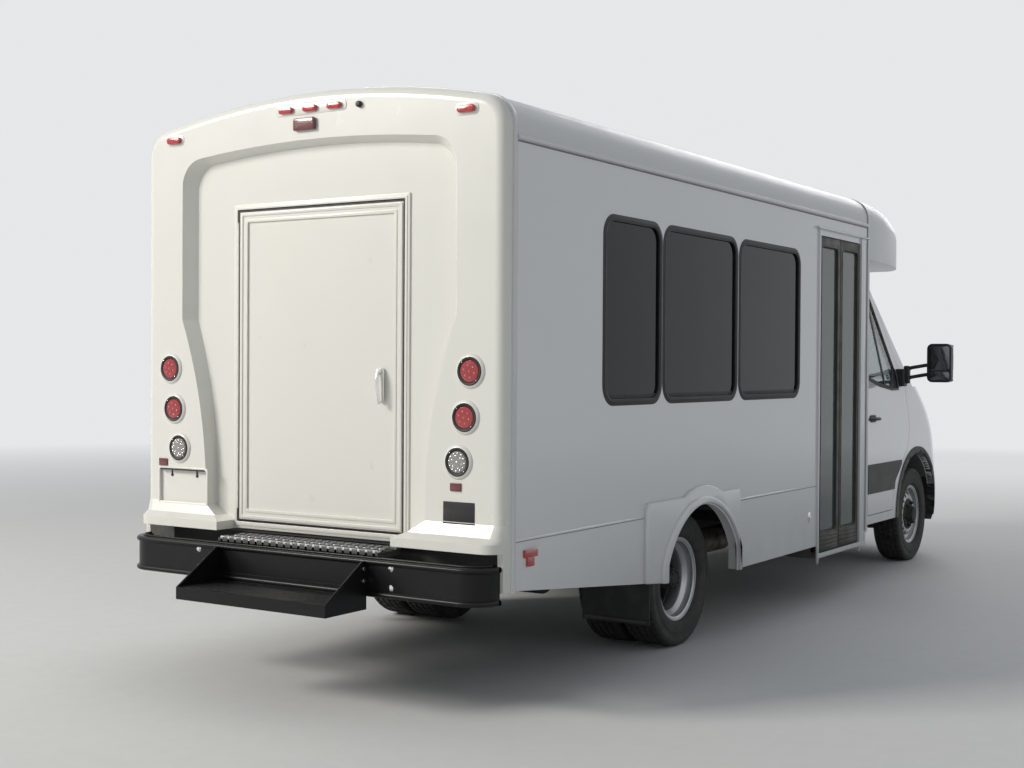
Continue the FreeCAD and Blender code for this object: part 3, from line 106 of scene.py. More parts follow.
def seenDirectly(owner):
    # Camera rays, and what metal and glass show of the background.
    path = addNode(owner, "LightPath")
    total = path.outputs["Is Camera Ray"]
    for name in ("Is Glossy Ray", "Is Transmission Ray"):
        total = combine(owner, "MAXIMUM", total, path.outputs[name])
    return total


def fadeFloor(material, shader):
    # Well away from the object the floor runs into the backdrop.
    reach = addNode(material, "VectorMath", links={0: objectPlace(material)})
    reach.operation = "LENGTH"
    fade = spreadValue(material, reach.outputs["Value"], studio["fadeNear"], studio["fadeFar"])
    glow = addNode(material, "Emission", {"Color": (*studio["backdrop"], 1), "Strength": 1.0})
    share = combine(material, "MULTIPLY", fade, seenDirectly(material))
    mixShaders(material, share, shader, glow, "Material Output")


def setStudio():
    bpy.context.scene.view_settings.view_transform = "Standard"
    world = bpy.data.worlds.new("studio")
    bpy.context.scene.world = world
    world.use_nodes = True
    light = world.node_tree.nodes["Background"]
    setSockets(light, {"Color": (*studio["skyColour"], 1), "Strength": studio["skyStrength"]})
    seen = addNode(world, "Background", {"Color": (*studio["backdrop"], 1), "Strength": 1.0})
    mixShaders(world, seenDirectly(world), light, seen, "World Output")
    addLamp("keyLamp", studio["keySpot"], studio["keySize"], studio["keyPower"], colour=(1.0, 0.97, 0.91))
    addLamp("fillLamp", studio["fillSpot"], studio["fillSize"], studio["fillPower"], colour=(0.92, 0.96, 1.0))
    addLamp("frontLamp", studio["frontSpot"], studio["frontSize"], studio["frontPower"])
    deselectAll()
    bpy.ops.mesh.primitive_plane_add(size=studio["floorSize"], location=(0, 0, 0))
    floor = bpy.context.object
    floor.name = "studioFloor"
    material, shader = startMaterial("paleFloor", studio["floorColour"], 0.75)
    speckle = addNoise(material, 9.0, 6.0, 0.6)
    blendColours(material, shader, speckle, (0.70, 0.695, 0.68), (0.77, 0.765, 0.75))
    fadeFloor(material, shader)
    floor.data.materials.append(material)


# Selection and finishing

def deselectAll():
    if bpy.context.object and bpy.context.object.mode != "OBJECT":
        bpy.ops.object.mode_set(mode="OBJECT")
    bpy.ops.object.select_all(action="DESELECT")


def pick(*pieces):
    deselectAll()
    for piece in pieces:
        piece.select_set(True)
    bpy.context.view_layer.objects.active = pieces[0]


def applyPlace(piece):
    pick(piece)
    bpy.ops.object.transform_apply(location=True, rotation=True, scale=True)


def addModifier(piece, kind, **settings):
    modifier = piece.modifiers.new(kind.title(), kind)
    for name, value in settings.items():
        setattr(modifier, name, value)
    pick(piece)
    bpy.ops.object.modifier_apply(modifier=modifier.name)


def softenEdges(piece, width, segments=2, angle=50):
    addModifier(piece, "BEVEL", width=width, segments=segments, limit_method="ANGLE",
                angle_limit=math.radians(angle))


def joinAll(pieces):
    pick(*pieces)
    if len(pieces) > 1:
        bpy.ops.object.join()
    return bpy.context.object


def finishPiece(piece, name, finish, body, angle=35):
    # Takes one piece, or a list of them to join.
    if isinstance(piece, list):
        piece = joinAll(piece)
    applyPlace(piece)
    piece.name = name
    piece.data.name = name
    piece.data.materials.clear()
    piece.data.materials.append(finishes[finish])
    for face in piece.data.polygons:
        face.material_index = 0
    pick(piece)
    bpy.ops.object.shade_smooth_by_angle(angle=math.radians(angle))
    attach(piece, body)
    return piece


def copyPiece(piece):
    pick(piece)
    bpy.ops.object.duplicate(linked=False)
    return bpy.context.object


def startEdit(piece, action="SELECT"):
    pick(piece)
    bpy.ops.object.mode_set(mode="EDIT")
    bpy.ops.mesh.select_all(action=action)


def endEdit():
    bpy.ops.object.mode_set(mode="OBJECT")


def recalculate(piece):
    startEdit(piece)
    bpy.ops.mesh.remove_doubles(threshold=0.00005)
    bpy.ops.mesh.normals_make_consistent(inside=False)
    endEdit()


# Starting shapes

def addBlock(low, high, bevel=0.0, steps=2):
    deselectAll()
    low, high = Vector(low), Vector(high)
    bpy.ops.mesh.primitive_cube_add(size=1, location=(low + high) / 2, scale=high - low)
    piece = bpy.context.object
    applyPlace(piece)
    if bevel:
        addModifier(piece, "BEVEL", width=bevel, segments=steps, limit_method="ANGLE")
    return piece


def addSideBlock(out, low, high, bevel=0.0, steps=2):
    # A block on the side that out gives, with its across values counted outwards.
    near, far = sorted((out * low[1], out * high[1]))
    return addBlock((low[0], near, low[2]), (high[0], far, high[2]), bevel, steps)


def addRod(start, end, radius, sides=24, bevel=0.0):
    deselectAll()
    start, end = Vector(start), Vector(end)
    bpy.ops.mesh.primitive_cylinder_add(vertices=sides, radius=radius, depth=(end - start).length,
                                        location=(start + end) / 2,
                                        rotation=(end - start).to_track_quat("Z", "Y").to_euler())
    piece = bpy.context.object
    applyPlace(piece)
    if bevel:
        softenEdges(piece, bevel)
    return piece


def drawOutline(points, filled=False):
    # A chain of edges drawn point by point, closed to a face when filled.
    deselectAll()
    bpy.ops.mesh.primitive_plane_add(size=0.001, location=points[0])
    piece = bpy.context.object
    applyPlace(piece)
    startEdit(piece)
    bpy.ops.mesh.merge(type="CENTER")
    for start, end in zip(points, points[1:]):
        step = Vector(end) - Vector(start)
        bpy.ops.mesh.extrude_vertices_move(TRANSFORM_OT_translate={"value": step})
    if filled:
        bpy.ops.mesh.select_all(action="SELECT")
        bpy.ops.mesh.edge_face_add()
    endEdit()
    return piece


def addPanel(points, push):
    # A flat outline pulled into a slab.
    piece = drawOutline(points, filled=True)
    startEdit(piece)
    bpy.ops.mesh.extrude_region_move(TRANSFORM_OT_translate={"value": push})
    endEdit()
    recalculate(piece)
    return piece


def addTurned(profile, centre, steps=96, way=(0, 1, 0)):
    # A closed profile of (along, radius) spun about an axis through the centre.
    centre, way = Vector(centre), Vector(way)
    side = Vector((0, 0, 1)) if abs(way.z) < 0.9 else Vector((1, 0, 0))
    points = [centre + way * along + side * radius for along, radius in profile]
    piece = drawOutline(points + points[:1])
    startEdit(piece)
    bpy.ops.mesh.spin(steps=steps, angle=2 * math.pi, center=centre, axis=way)
    endEdit()
    recalculate(piece)
    return piece


def addTube(points, radius, sides=4):
    # A round bead along straight runs.
    curve = bpy.data.curves.new("bead", "CURVE")
    curve.dimensions = "3D"
    curve.bevel_depth = radius
    curve.bevel_resolution = sides
    curve.use_fill_caps = True
    spline = curve.splines.new("POLY")
    spline.points.add(len(points) - 1)
    for point, spot in zip(spline.points, points):
        point.co = (*spot, 1)
    piece = bpy.data.objects.new("bead", curve)
    bpy.context.scene.collection.objects.link(piece)
    pick(piece)
    bpy.ops.object.convert(target="MESH")
    return bpy.context.object


def roundRectangle(left, right, low, high, radius, steps=8):
    # Corner points of a rounded rectangle, as (across, up).
    points = []
    for across, up, start in ((right - radius, low + radius, -90), (right - radius, high - radius, 0),
                              (left + radius, high - radius, 90), (left + radius, low + radius, 180)):
        for step in range(steps + 1):
            angle = math.radians(start + 90 * step / steps)
            points.append((across + radius * math.cos(angle), up + radius * math.sin(angle)))
    return points


def insetRectangle(spread, inset, radius, steps=8):
    # A rounded rectangle inside (left, right, low, high), or outside it when the inset is negative.
    left, right, low, high = spread
    return roundRectangle(left + inset, right - inset, low + inset, high - inset, radius, steps)


def cutWith(piece, cutter):
    addModifier(piece, "BOOLEAN", operation="DIFFERENCE", solver="EXACT", object=cutter)
    bpy.data.objects.remove(cutter)


# Finishes

def setSockets(node, values):
    for socket, value in values.items():
        node.inputs[socket].default_value = value


def addNode(owner, kind, values={}, links={}):
    # A shader node of a material or of the world, with its sockets set and linked.
    tree = owner.node_tree
    node = tree.nodes.new("ShaderNode" + kind)
    setSockets(node, values)
    for socket, source in links.items():
        tree.links.new(source, node.inputs[socket])
    return node


def startMaterial(name, colour, roughness, metallic=0.0, coat=0.0):
    material = bpy.data.materials.new(name)
    material.use_nodes = True
    shader = material.node_tree.nodes["Principled BSDF"]
    setSockets(shader, {"Base Color": (*colour, 1), "Roughness": roughness, "Metallic": metallic,
                        "Coat Weight": coat, "Coat Roughness": 0.06})
    return material, shader


def objectPlace(material):
    tree = material.node_tree
    place = tree.nodes.get("Texture Coordinate") or tree.nodes.new("ShaderNodeTexCoord")
    return place.outputs["Object"]


def addNoise(material, scale, detail=4.0, roughness=0.5, stretch=None):
    source = objectPlace(material)
    if stretch:
        source = addNode(material, "Mapping", {"Scale": stretch}, {"Vector": source}).outputs["Vector"]
    grain = {"Scale": scale, "Detail": detail, "Roughness": roughness}
    return addNode(material, "TexNoise", grain, {"Vector": source}).outputs["Fac"]


def spreadValue(material, value, low, high, lowOut=0.0, highOut=1.0):
    limits = {"From Min": low, "From Max": high, "To Min": lowOut, "To Max": highOut}
    return addNode(material, "MapRange", limits, {"Value": value}).outputs["Result"]


def combine(owner, operation, first, second):
    node = addNode(owner, "Math", links={0: first, 1: second})
    node.operation = operation
    return node.outputs[0]


def mixShaders(owner, factor, first, second, output):
    sources = {0: factor, 1: first.outputs[0], 2: second.outputs[0]}
    mix = addNode(owner, "MixShader", links=sources)
    tree = owner.node_tree
    tree.links.new(mix.outputs[0], tree.nodes[output].inputs["Surface"])


def blendColours(material, shader, factor, first, second):
    tree = material.node_tree
    mix = tree.nodes.new("ShaderNodeMix")
    mix.data_type = "RGBA"
    tree.links.new(factor, mix.inputs["Factor"])
    for socket, colour in ((mix.inputs[6], first), (mix.inputs[7], second)):
        if isinstance(colour, tuple):
            socket.default_value = (*colour, 1)
        else:
            tree.links.new(colour, socket)
    tree.links.new(mix.outputs[2], shader.inputs["Base Color"])
    return mix.outputs[2]


def addBump(material, shader, height, strength, distance):
    bump = addNode(material, "Bump", {"Strength": strength, "Distance": distance}, {"Height": height})
    material.node_tree.links.new(bump.outputs["Normal"], shader.inputs["Normal"])


def heightAbove(material, low, high, lowOut=1.0, highOut=0.0):
    # Fades from lowOut at the low height to highOut at the high one.
    split = addNode(material, "SeparateXYZ", links={0: objectPlace(material)})
    return spreadValue(material, split.outputs["Z"], low, high, lowOut, highOut)


def dirtyGloss(name, colour, dirt, roughness, coat=0.35, top=0.95, waves=0.0012):
    # Gel coat or paint: a faint sag in the panels and road dust low down.
    material, shader = startMaterial(name, colour, roughness, coat=coat)
    low = heightAbove(material, 0.3, top, 0.75, 0.0)
    dust = combine(material, "MULTIPLY", low, addNoise(material, 3.0, 7.0, 0.65))
    shade = addNoise(material, 0.9, 3.0, 0.5)
    tone = blendColours(material, shader, shade, colour, tuple(part * 0.965 for part in colour))
    blendColours(material, shader, dust, tone, dirt)
    sag = addNoise(material, 1.6, 1.0, 0.3)
    addBump(material, shader, sag, 0.35, waves * 8)
    gloss = spreadValue(material, addNoise(material, 5.0, 5.0, 0.6), 0.3, 0.7, roughness * 0.9,
                        roughness * 1.15)
    material.node_tree.links.new(gloss, shader.inputs["Roughness"])
    return material


def grainedPlastic(name, colour, roughness, grain=420.0, depth=0.0004):
    material, shader = startMaterial(name, colour, roughness)
    fine = addNoise(material, grain, 3.0, 0.6)
    addBump(material, shader, fine, 0.5, depth)
    worn = spreadValue(material, addNoise(material, 7.0, 5.0, 0.65), 0.45, 0.75)
    blendColours(material, shader, worn, colour, tuple(min(1.0, part * 1.5 + 0.012) for part in colour))
    return material


def satinCoat(name, colour, roughness=0.34, dusty=0.32, gloss=0.5):
    # Powder coat: orange peel, and dust where feet and spray reach.
    material, shader = startMaterial(name, colour, roughness, coat=gloss * 0.2)
    shader.inputs["Specular IOR Level"].default_value = gloss
    peel = addNoise(material, 190.0, 2.0, 0.4)
    addBump(material, shader, peel, 0.35, 0.0006)
    dust = spreadValue(material, addNoise(material, 6.0, 8.0, 0.7, (1.0, 1.0, 2.2)), 0.5, 0.78, 0.0, dusty)
    blendColours(material, shader, dust, colour, (0.07, 0.066, 0.06))
    return material


def bareMetal(name, colour, roughness, brushed=(1.0, 1.0, 24.0), metallic=1.0):
    material, shader = startMaterial(name, colour, roughness, metallic=metallic)
    lines = addNoise(material, 90.0, 4.0, 0.6, brushed)
    addBump(material, shader, lines, 0.25, 0.0003)
    dull = spreadValue(material, addNoise(material, 11.0, 6.0, 0.65), 0.35, 0.75, roughness, roughness + 0.25)
    material.node_tree.links.new(dull, shader.inputs["Roughness"])
    blendColours(material, shader, addNoise(material, 14.0, 6.0, 0.6), colour,
                 tuple(p * 0.72 for p in colour))
    return material


def tyreRubber():
    material, shader = startMaterial("tyreRubber", (0.018, 0.018, 0.018), 0.78)
    dust = spreadValue(material, addNoise(material, 8.0, 8.0, 0.7), 0.42, 0.8, 0.0, 0.65)
    blendColours(material, shader, dust, (0.017, 0.017, 0.0175), (0.085, 0.078, 0.066))
    addBump(material, shader, addNoise(material, 260.0, 3.0, 0.6), 0.4, 0.0006)
    return material


def glassSheet(name, colour, strength, roughness=0.01, bending=1.5):
    material, shader = startMaterial(name, colour, roughness)
    setSockets(shader, {"Transmission Weight": strength, "IOR": bending})
    streak = addNoise(material, 2.2, 4.0, 0.6, (1.0, 1.0, 0.25))
    addBump(material, shader, streak, 0.08, 0.002)
    return material


def lampLens(name, colour, roughness=0.08):
    material, shader = startMaterial(name, colour, roughness, coat=1.0)
    cells = addNode(material, "TexVoronoi", {"Scale": 150.0}, {"Vector": objectPlace(material)})
    blendColours(material, shader, cells.outputs["Distance"], tuple(p * 0.55 for p in colour), colour)
    addBump(material, shader, cells.outputs["Distance"], 0.5, 0.0015)
    return material


def wovenFabric(name, dark, light):
    material, shader = startMaterial(name, dark, 0.9)
    shader.inputs["Sheen Weight"].default_value = 0.35
    threads = addNoise(material, 320.0, 2.0)
    fleck = spreadValue(material, addNoise(material, 60.0, 3.0, 0.7), 0.5, 0.62)
    blendColours(material, shader, fleck, dark, light)
    addBump(material, shader, threads, 0.6, 0.0012)
    return material


def ribbedRubber():
    material, shader = startMaterial("ribbedRubber", (0.08, 0.08, 0.085), 0.7)
    waves = addNode(material, "TexWave", {"Scale": 40.0}, {"Vector": objectPlace(material)})
    waves.bands_direction = "Y"
    addBump(material, shader, waves.outputs["Fac"], 0.6, 0.002)
    blendColours(material, shader, addNoise(material, 5.0, 6.0, 0.6), (0.06, 0.06, 0.065),
                 (0.12, 0.115, 0.105))
    return material


def rustySteel():
    material, shader = startMaterial("exhaustSteel", (0.3, 0.27, 0.23), 0.55, metallic=0.75)
    rust = spreadValue(material, addNoise(material, 9.0, 8.0, 0.7), 0.45, 0.65)
    blendColours(material, shader, rust, (0.30, 0.28, 0.25), (0.13, 0.06, 0.03))
    addBump(material, shader, addNoise(material, 80.0, 4.0, 0.6), 0.4, 0.0008)
    return material


finishes = {made.name: made for made in (
    dirtyGloss("bodyWhite", (0.80, 0.81, 0.82), (0.42, 0.39, 0.34), 0.16, top=0.75),
    dirtyGloss("roofWhite", (0.74, 0.745, 0.75), (0.5, 0.47, 0.42), 0.36, coat=0.12, top=0.4),
    dirtyGloss("capWhite", (0.80, 0.792, 0.735), (0.5, 0.46, 0.38), 0.24, top=0.85),
    dirtyGloss("cabWhite", (0.80, 0.81, 0.82), (0.40, 0.37, 0.32), 0.12, coat=0.8, top=0.8),
    dirtyGloss("doorWhite", (0.80, 0.785, 0.725), (0.5, 0.46, 0.38), 0.3, coat=0.15, top=0.9),
    satinCoat("chassisBlack", (0.022, 0.022, 0.023), 0.5),
    satinCoat("bumperBlack", (0.006, 0.006, 0.007), 0.34, 0.08, 0.22),
    grainedPlastic("trimBlack", (0.016, 0.016, 0.017), 0.48),
    grainedPlastic("claddingGrey", (0.045, 0.043, 0.042), 0.6),
    grainedPlastic("gasketBlack", (0.010, 0.010, 0.011), 0.55, grain=260.0),
    grainedPlastic("tankPlastic", (0.02, 0.02, 0.02), 0.6),
    grainedPlastic("dashPlastic", (0.07, 0.07, 0.075), 0.65),
    bareMetal("bronzeFrame", (0.060, 0.056, 0.050), 0.42, (1.0, 1.0, 1.0), 0.6),
    # A darkened copy of the tread aluminium: painted shade for the tread's top.
    bareMetal("treadPaintedShade", (0.085, 0.085, 0.083), 0.5, (1.0, 14.0, 1.0), 0.7),
    bareMetal("gripAluminium", (0.42, 0.42, 0.42), 0.36, (1.0, 14.0, 1.0)),
    bareMetal("wheelSilver", (0.52, 0.53, 0.54), 0.33, (1.0, 1.0, 1.0), 0.75),
    bareMetal("drivelineSteel", (0.24, 0.23, 0.22), 0.5),
    bareMetal("hubIron", (0.055, 0.052, 0.048), 0.65, (1.0, 1.0, 1.0), 0.6),
    bareMetal("engineIron", (0.16, 0.16, 0.16), 0.55, (1.0, 1.0, 1.0), 0.6),
    bareMetal("chrome", (0.83, 0.83, 0.84), 0.09, (1.0, 1.0, 1.0)),
    rustySteel(),
    tyreRubber(),
    glassSheet("tintGlass", (0.012, 0.014, 0.017), 0.5, 0.012, 1.27),
    glassSheet("screenGlass", (0.50, 0.56, 0.55), 0.92),
    lampLens("redLens", (0.46, 0.008, 0.014)),
    lampLens("redDark", (0.17, 0.006, 0.010), 0.2),
    lampLens("clearLens", (0.36, 0.35, 0.32)),
    lampLens("amberLens", (0.72, 0.22, 0.02)),
    lampLens("redBright", (0.62, 0.015, 0.02)),
    lampLens("lampDot", (0.80, 0.30, 0.26), 0.15),
    glassSheet("leafGlass", (0.30, 0.35, 0.32), 0.75, 0.02, 1.38),
    # Dark grey for the real sealant beside the seam bands, and for painted shadow lines under the roof rails
    # and lap beads.
    grainedPlastic("sealantAndShadeGrey", (0.19, 0.19, 0.20), 0.6),
    grainedPlastic("nosingYellow", (0.62, 0.42, 0.03), 0.6),
    bareMetal("mirrorSilver", (0.16, 0.17, 0.18), 0.03, (1.0, 1.0, 1.0)),
    bareMetal("satinSilver", (0.30, 0.30, 0.31), 0.35, (1.0, 8.0, 1.0), 0.8),
    grainedPlastic("intakeMesh", (0.008, 0.008, 0.008), 0.7, grain=90.0, depth=0.003),
    glassSheet("lampCover", (0.92, 0.94, 0.95), 0.95, 0.01),
    satinCoat("plateBlack", (0.014, 0.014, 0.015), 0.22),
    wovenFabric("seatCloth", (0.06, 0.07, 0.10), (0.14, 0.16, 0.22)),
    wovenFabric("cabCloth", (0.035, 0.035, 0.037), (0.08, 0.08, 0.082)),
    grainedPlastic("pipingGrey", (0.10, 0.105, 0.12), 0.6),
    satinCoat("seatSteel", (0.05, 0.05, 0.052), 0.4),
    ribbedRubber(),
    grainedPlastic("flapRubber", (0.025, 0.025, 0.026), 0.8, grain=160.0),
)}

nodesByFinish = {
    "chassisBlack": "chassis_rails cross_members rear_axle front_subframe",
    "drivelineSteel": "drive_line",
    "engineIron": "engine_block",
    "exhaustSteel": "exhaust",
    "tankPlastic": "fuel_tank",
    "ribbedRubber": "floor entry_steps cab_floor",
    "bodyWhite": "side_wall_left side_wall_right",
    "tintGlass": "side_windows",
    "roofWhite": "roof front_cap",
    "capWhite": "rear_cap",
    "doorWhite": "rear_door",
    "bumperBlack": "rear_bumper rear_step",
    "gripAluminium": "tread_plate",
    "redLens": "rear_lamps",
    "flapRubber": "mud_flaps",
    "bronzeFrame": "entry_leaf_rear entry_leaf_front",
    "cabWhite": "cab_shell hood cab_door_left cab_door_right",
    "screenGlass": "windscreen cab_glass_left cab_glass_right",
    "claddingGrey": "front_bumper",
    "trimBlack": "grille mirror_left mirror_right",
    "clearLens": "headlamps",
    "seatCloth": "seats cab_seats",
    "dashPlastic": "dashboard",
    "hubIron": "knuckle_left knuckle_right",
    "wheelSilver": "front_rim_left front_rim_right rear_rims_left rear_rims_right",
    "tyreRubber": "front_tyre_left front_tyre_right rear_tyres_left rear_tyres_right",
}


def finishNodes():
    for finish, names in nodesByFinish.items():
        for name in names.split():
            nodes[name].data.materials.clear()
            nodes[name].data.materials.append(finishes[finish])


setStudio()
setCamera()
finishNodes()
print("camera, studio and finishes set")


# Outlines shared by many pieces

def facePoints(outline, plane, at):
    # Turns (across, up) pairs into points on a side plane "Y", an end plane "X" or a level plane "Z".
    if plane == "Y":
        return [(across, at, up) for across, up in outline]
    if plane == "Z":
        return [(along, across, at) for along, across in outline]
    return [(at, across, up) for across, up in outline]


def addPlate(outline, plane, at, depth):
    push = {"X": (depth, 0, 0), "Y": (0, depth, 0), "Z": (0, 0, depth)}[plane]
    return addPanel(facePoints(outline, plane, at), push)


def addFrame(outer, inner, plane, at, depth, bevel=0.0):
    # A flat ring between two outlines, pulled out by depth.
    piece = addPlate(outer, plane, at, depth)
    cutter = addPlate(inner, plane, at - depth, depth * 3)
    cutWith(piece, cutter)
    if bevel:
        softenEdges(piece, bevel, 2, 40)
    return piece


def ringPoints(centre, radius, count, start=0.0):
    # Points round a wheel's axis, as (x, z).
    turns = [start + 2 * math.pi * step / count for step in range(count)]
    return [(centre[0] + radius * math.cos(turn), centre[1] + radius * math.sin(turn)) for turn in turns]


# Wheels

wheel = {"axleHeight": 0.376, "rearX": -1.444, "frontX": 2.881, "frontY": 0.868, "rearY": 0.765,
         "twinSpread": 0.125, "crown": 0.376, "half": 0.1075, "bead": 0.2203, "seat": 0.0752, "steps": 168,
         "lip": 0.236, "well": 0.190, "sheet": 0.0065, "rimHalf": 0.0855, "holeRadius": 0.0135, "holes": 16,
         "studRing": 0.084, "studs": 8, "grooveDepth": 0.0085, "sipeDepth": 0.006}


def treadProfile():
    # Half a tyre's section from bead to bead, with four grooves round the crown.
    half, bead, crown = wheel["half"], wheel["bead"], wheel["crown"]
    seat, deep = wheel["seat"], wheel["grooveDepth"]
    side = [(seat, bead), (seat + 0.002, bead + 0.012), (half - 0.016, bead + 0.022),
            (half - 0.006, bead + 0.034), (half - 0.0045, bead + 0.038), (half - 0.002, bead + 0.055),
            (half, bead + 0.074), (half + 0.0004, bead + 0.078), (half + 0.0004, bead + 0.081),
            (half - 0.001, bead + 0.085), (half - 0.003, crown - 0.040), (half - 0.0015, crown - 0.037),
            (half - 0.002, crown - 0.026), (half - 0.006, crown - 0.012), (half - 0.014, crown - 0.0035),
            (half - 0.022, crown - 0.0008)]
    top = []
    for middle in (0.062, 0.021):
        top += [(middle + 0.0055, crown), (middle + 0.0035, crown - deep), (middle - 0.0035, crown - deep),
                (middle - 0.0055, crown)]
    right = side + top
    return [(-across, up) for across, up in right] + list(reversed(right))


def cutSipes(piece, centre):
    # Sinks every third block of the ribs, staggered from rib to rib.
    pitch = 2 * math.pi / wheel["steps"]
    startEdit(piece, "DESELECT")
    endEdit()
    for face in piece.data.polygons:
        along = face.center.y - centre[1]
        reach = math.hypot(face.center.x - centre[0], face.center.z - centre[2])
        turn = math.atan2(face.center.z - centre[2], face.center.x - centre[0]) % (2 * math.pi)
        rib = 0 if abs(along) < 0.014 else 1 if abs(along) < 0.055 else 2
        place = int(turn / pitch) + (0, 1, 2)[rib] + (1 if along > 0 else 0)
        face.select = reach > wheel["crown"] - 0.005 and place % 3 == 0 and (rib > 0 or place % 2 == 0)
    bpy.ops.object.mode_set(mode="EDIT")
    bpy.ops.mesh.inset(thickness=0.0035, depth=-wheel["sipeDepth"], use_individual=True)
    endEdit()


def addTyre(x, y):
    centre = (x, y, wheel["axleHeight"])
    piece = addTurned(treadProfile(), centre, wheel["steps"])
    cutSipes(piece, centre)
    return piece


def rimProfile():
    # The pressed barrel: two lips, two bead seats and the well between them.
    half, lip, well, sheet = wheel["rimHalf"], wheel["lip"], wheel["well"], wheel["sheet"]
    seat = wheel["bead"] - 0.0005
    outer = [(half, lip - 0.002), (half - 0.003, lip), (half - 0.006, lip - 0.003), (half - 0.0095, seat),
             (0.042, seat - 0.0015), (0.037, seat - 0.005), (0.024, well + 0.003), (0.018, well),
             (-0.030, well), (-0.036, well + 0.003), (-0.049, seat - 0.005), (-0.054, seat - 0.0015),
             (0.0095 - half, seat), (0.006 - half, lip - 0.003), (0.003 - half, lip), (-half, lip - 0.002)]
    inner = [(across * 0.985, up - sheet - (0.004 if abs(across) > half - 0.008 else 0.0))
             for across, up in outer]
    return outer + list(reversed(inner))


def cutRing(piece, x, y, radius, ring, count, turn=0.0):
    # Drills a ring of holes through the disc.
    drills = [addRod((px, y - 0.12, pz), (px, y + 0.12, pz), radius, 16)
              for px, pz in ringPoints((x, wheel["axleHeight"]), ring, count, turn)]
    cutWith(piece, joinAll(drills))


def addNuts(x, y, side, ring, count, size=0.0125, length=0.02):
    # Six-sided nuts on a washer, each with its stud end.
    pieces = []
    for px, pz in ringPoints((x, wheel["axleHeight"]), ring, count, 0.2):
        pieces.append(addRod((px, y, pz), (px, y + side * 0.004, pz), size * 1.35, 20, 0.0008))
        pieces.append(addRod((px, y, pz), (px, y + side * length, pz), size, 6, 0.0012))
        pieces.append(addRod((px, y, pz), (px, y + side * (length + 0.008), pz), size * 0.52, 12, 0.0008))
    return joinAll(pieces)


def makeFrontWheel(side, word):
    x, y, z = wheel["frontX"], wheel["frontY"] * side, wheel["axleHeight"]
    body = f"wheel_front_{word}"
    tyre = finishPiece(addTyre(x, y), f"frontTyre_{word}", "tyreRubber", body)
    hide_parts(f"front_tyre_{word}")
    barrel = addTurned([(across * side, up) for across, up in rimProfile()], (x, y, z))
    shape = [(0.002, 0.1845), (0.020, 0.1825), (0.050, 0.1740), (0.066, 0.1640), (0.0715, 0.150),
             (0.0725, 0.138), (0.0690, 0.126), (0.0690, 0.060)]
    sheet = wheel["sheet"]
    disc = shape + [(across - sheet, up - (sheet if up > 0.15 else 0)) for across, up in reversed(shape)]
    disc = addTurned([(across * side, up) for across, up in disc], (x, y, z))
    cutRing(disc, x, y, wheel["holeRadius"], 0.160, wheel["holes"])
    rim = finishPiece([barrel, disc], f"frontRim_{word}", "wheelSilver", body, 40)
    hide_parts(f"front_rim_{word}")
    hub = [(0.030, 0.122), (0.0745, 0.122), (0.0775, 0.116), (0.0775, 0.070), (0.083, 0.066), (0.1185, 0.060),
           (0.1225, 0.054), (0.1235, 0.030), (0.1235, 0.0002), (0.030, 0.0002)]
    hub = addTurned([(across * side, up) for across, up in hub], (x, y, z))
    nuts = addNuts(x, y + 0.0775 * side, side, 0.094, 6)
    finishPiece([hub, nuts], f"frontHub_{word}", "hubIron", body, 40)


def makeRearWheels(side, word):
    x, y, z = wheel["rearX"], wheel["rearY"] * side, wheel["axleHeight"]
    body = f"wheel_rear_{word}"
    spread = wheel["twinSpread"]
    tyres = joinAll([addTyre(x, y + spread * side), addTyre(x, y - spread * side)])
    tyres = finishPiece(tyres, f"rearTyres_{word}", "tyreRubber", body)
    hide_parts(f"rear_tyres_{word}")
    pieces = []
    sheet = wheel["sheet"]
    for way in (1, -1):
        out = side * way
        barrel = addTurned([(across * out, up) for across, up in rimProfile()], (x, y + spread * out, z))
        shape = [(spread - 0.020, 0.1845), (0.050, 0.1800), (0.026, 0.1700), (0.013, 0.1560),
                 (0.0095, 0.1400), (0.0065, 0.1250), (0.0065, 0.0620)]
        disc = shape + [(max(across - sheet, 0.0003), up - (sheet if up > 0.15 else 0))
                        for across, up in reversed(shape)]
        disc = addTurned([(across * out, up) for across, up in disc], (x, y, z))
        cutRing(disc, x, y, wheel["holeRadius"] + 0.0015, 0.150, wheel["holes"])
        pieces += [barrel, disc]
    rims = finishPiece(pieces, f"rearRims_{word}", "wheelSilver", body, 40)
    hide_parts(f"rear_rims_{word}")
    hub = [(-0.055, 0.112), (0.012, 0.112), (0.020, 0.106), (0.022, 0.070), (0.060, 0.064), (0.160, 0.056),
           (0.186, 0.052), (0.192, 0.044), (0.193, 0.0002), (-0.055, 0.0002)]
    hub = addTurned([(across * side, up) for across, up in hub], (x, y, z))
    cap = []
    for px, pz in ringPoints((x, z), 0.040, wheel["studs"]):
        cap.append(addRod((px, y + 0.186 * side, pz), (px, y + 0.199 * side, pz), 0.0055, 6, 0.0006))
    nuts = addNuts(x, y + 0.016 * side, side, wheel["studRing"] + 0.010, wheel["studs"], length=0.026)
    finishPiece([hub, nuts] + cap, f"rearHub_{word}", "hubIron", body, 40)


for side, word in ((1, "left"), (-1, "right")):
    makeFrontWheel(side, word)
    makeRearWheels(side, word)
print("wheels made")


# Rear lamps

lamp = {"faceX": -3.470, "radius": 0.062, "dot": 0.0052,
        "round": ((0.938, 1.549, "redLens"), (0.911, 1.342, "redLens"), (0.874, 1.141, "clearLens")),
        "corner": ((0.912, 2.719), (-0.912, 2.719)), "top": (-0.151, 0.0, 0.151), "topHeight": 2.804,
        "brake": (0.032, 2.730), "camera": (-0.300, 2.796), "reflectors": ((0.990, 1.065), (-0.862, 1.028))}


def addDisc(x, y, z, profile, steps=56):
    # Turned about an axis that points rearwards, with its back on the face.
    return addTurned([(along, max(radius, 0.0002)) for along, radius in profile], (x, y, z), steps,
                     (-1, 0, 0))


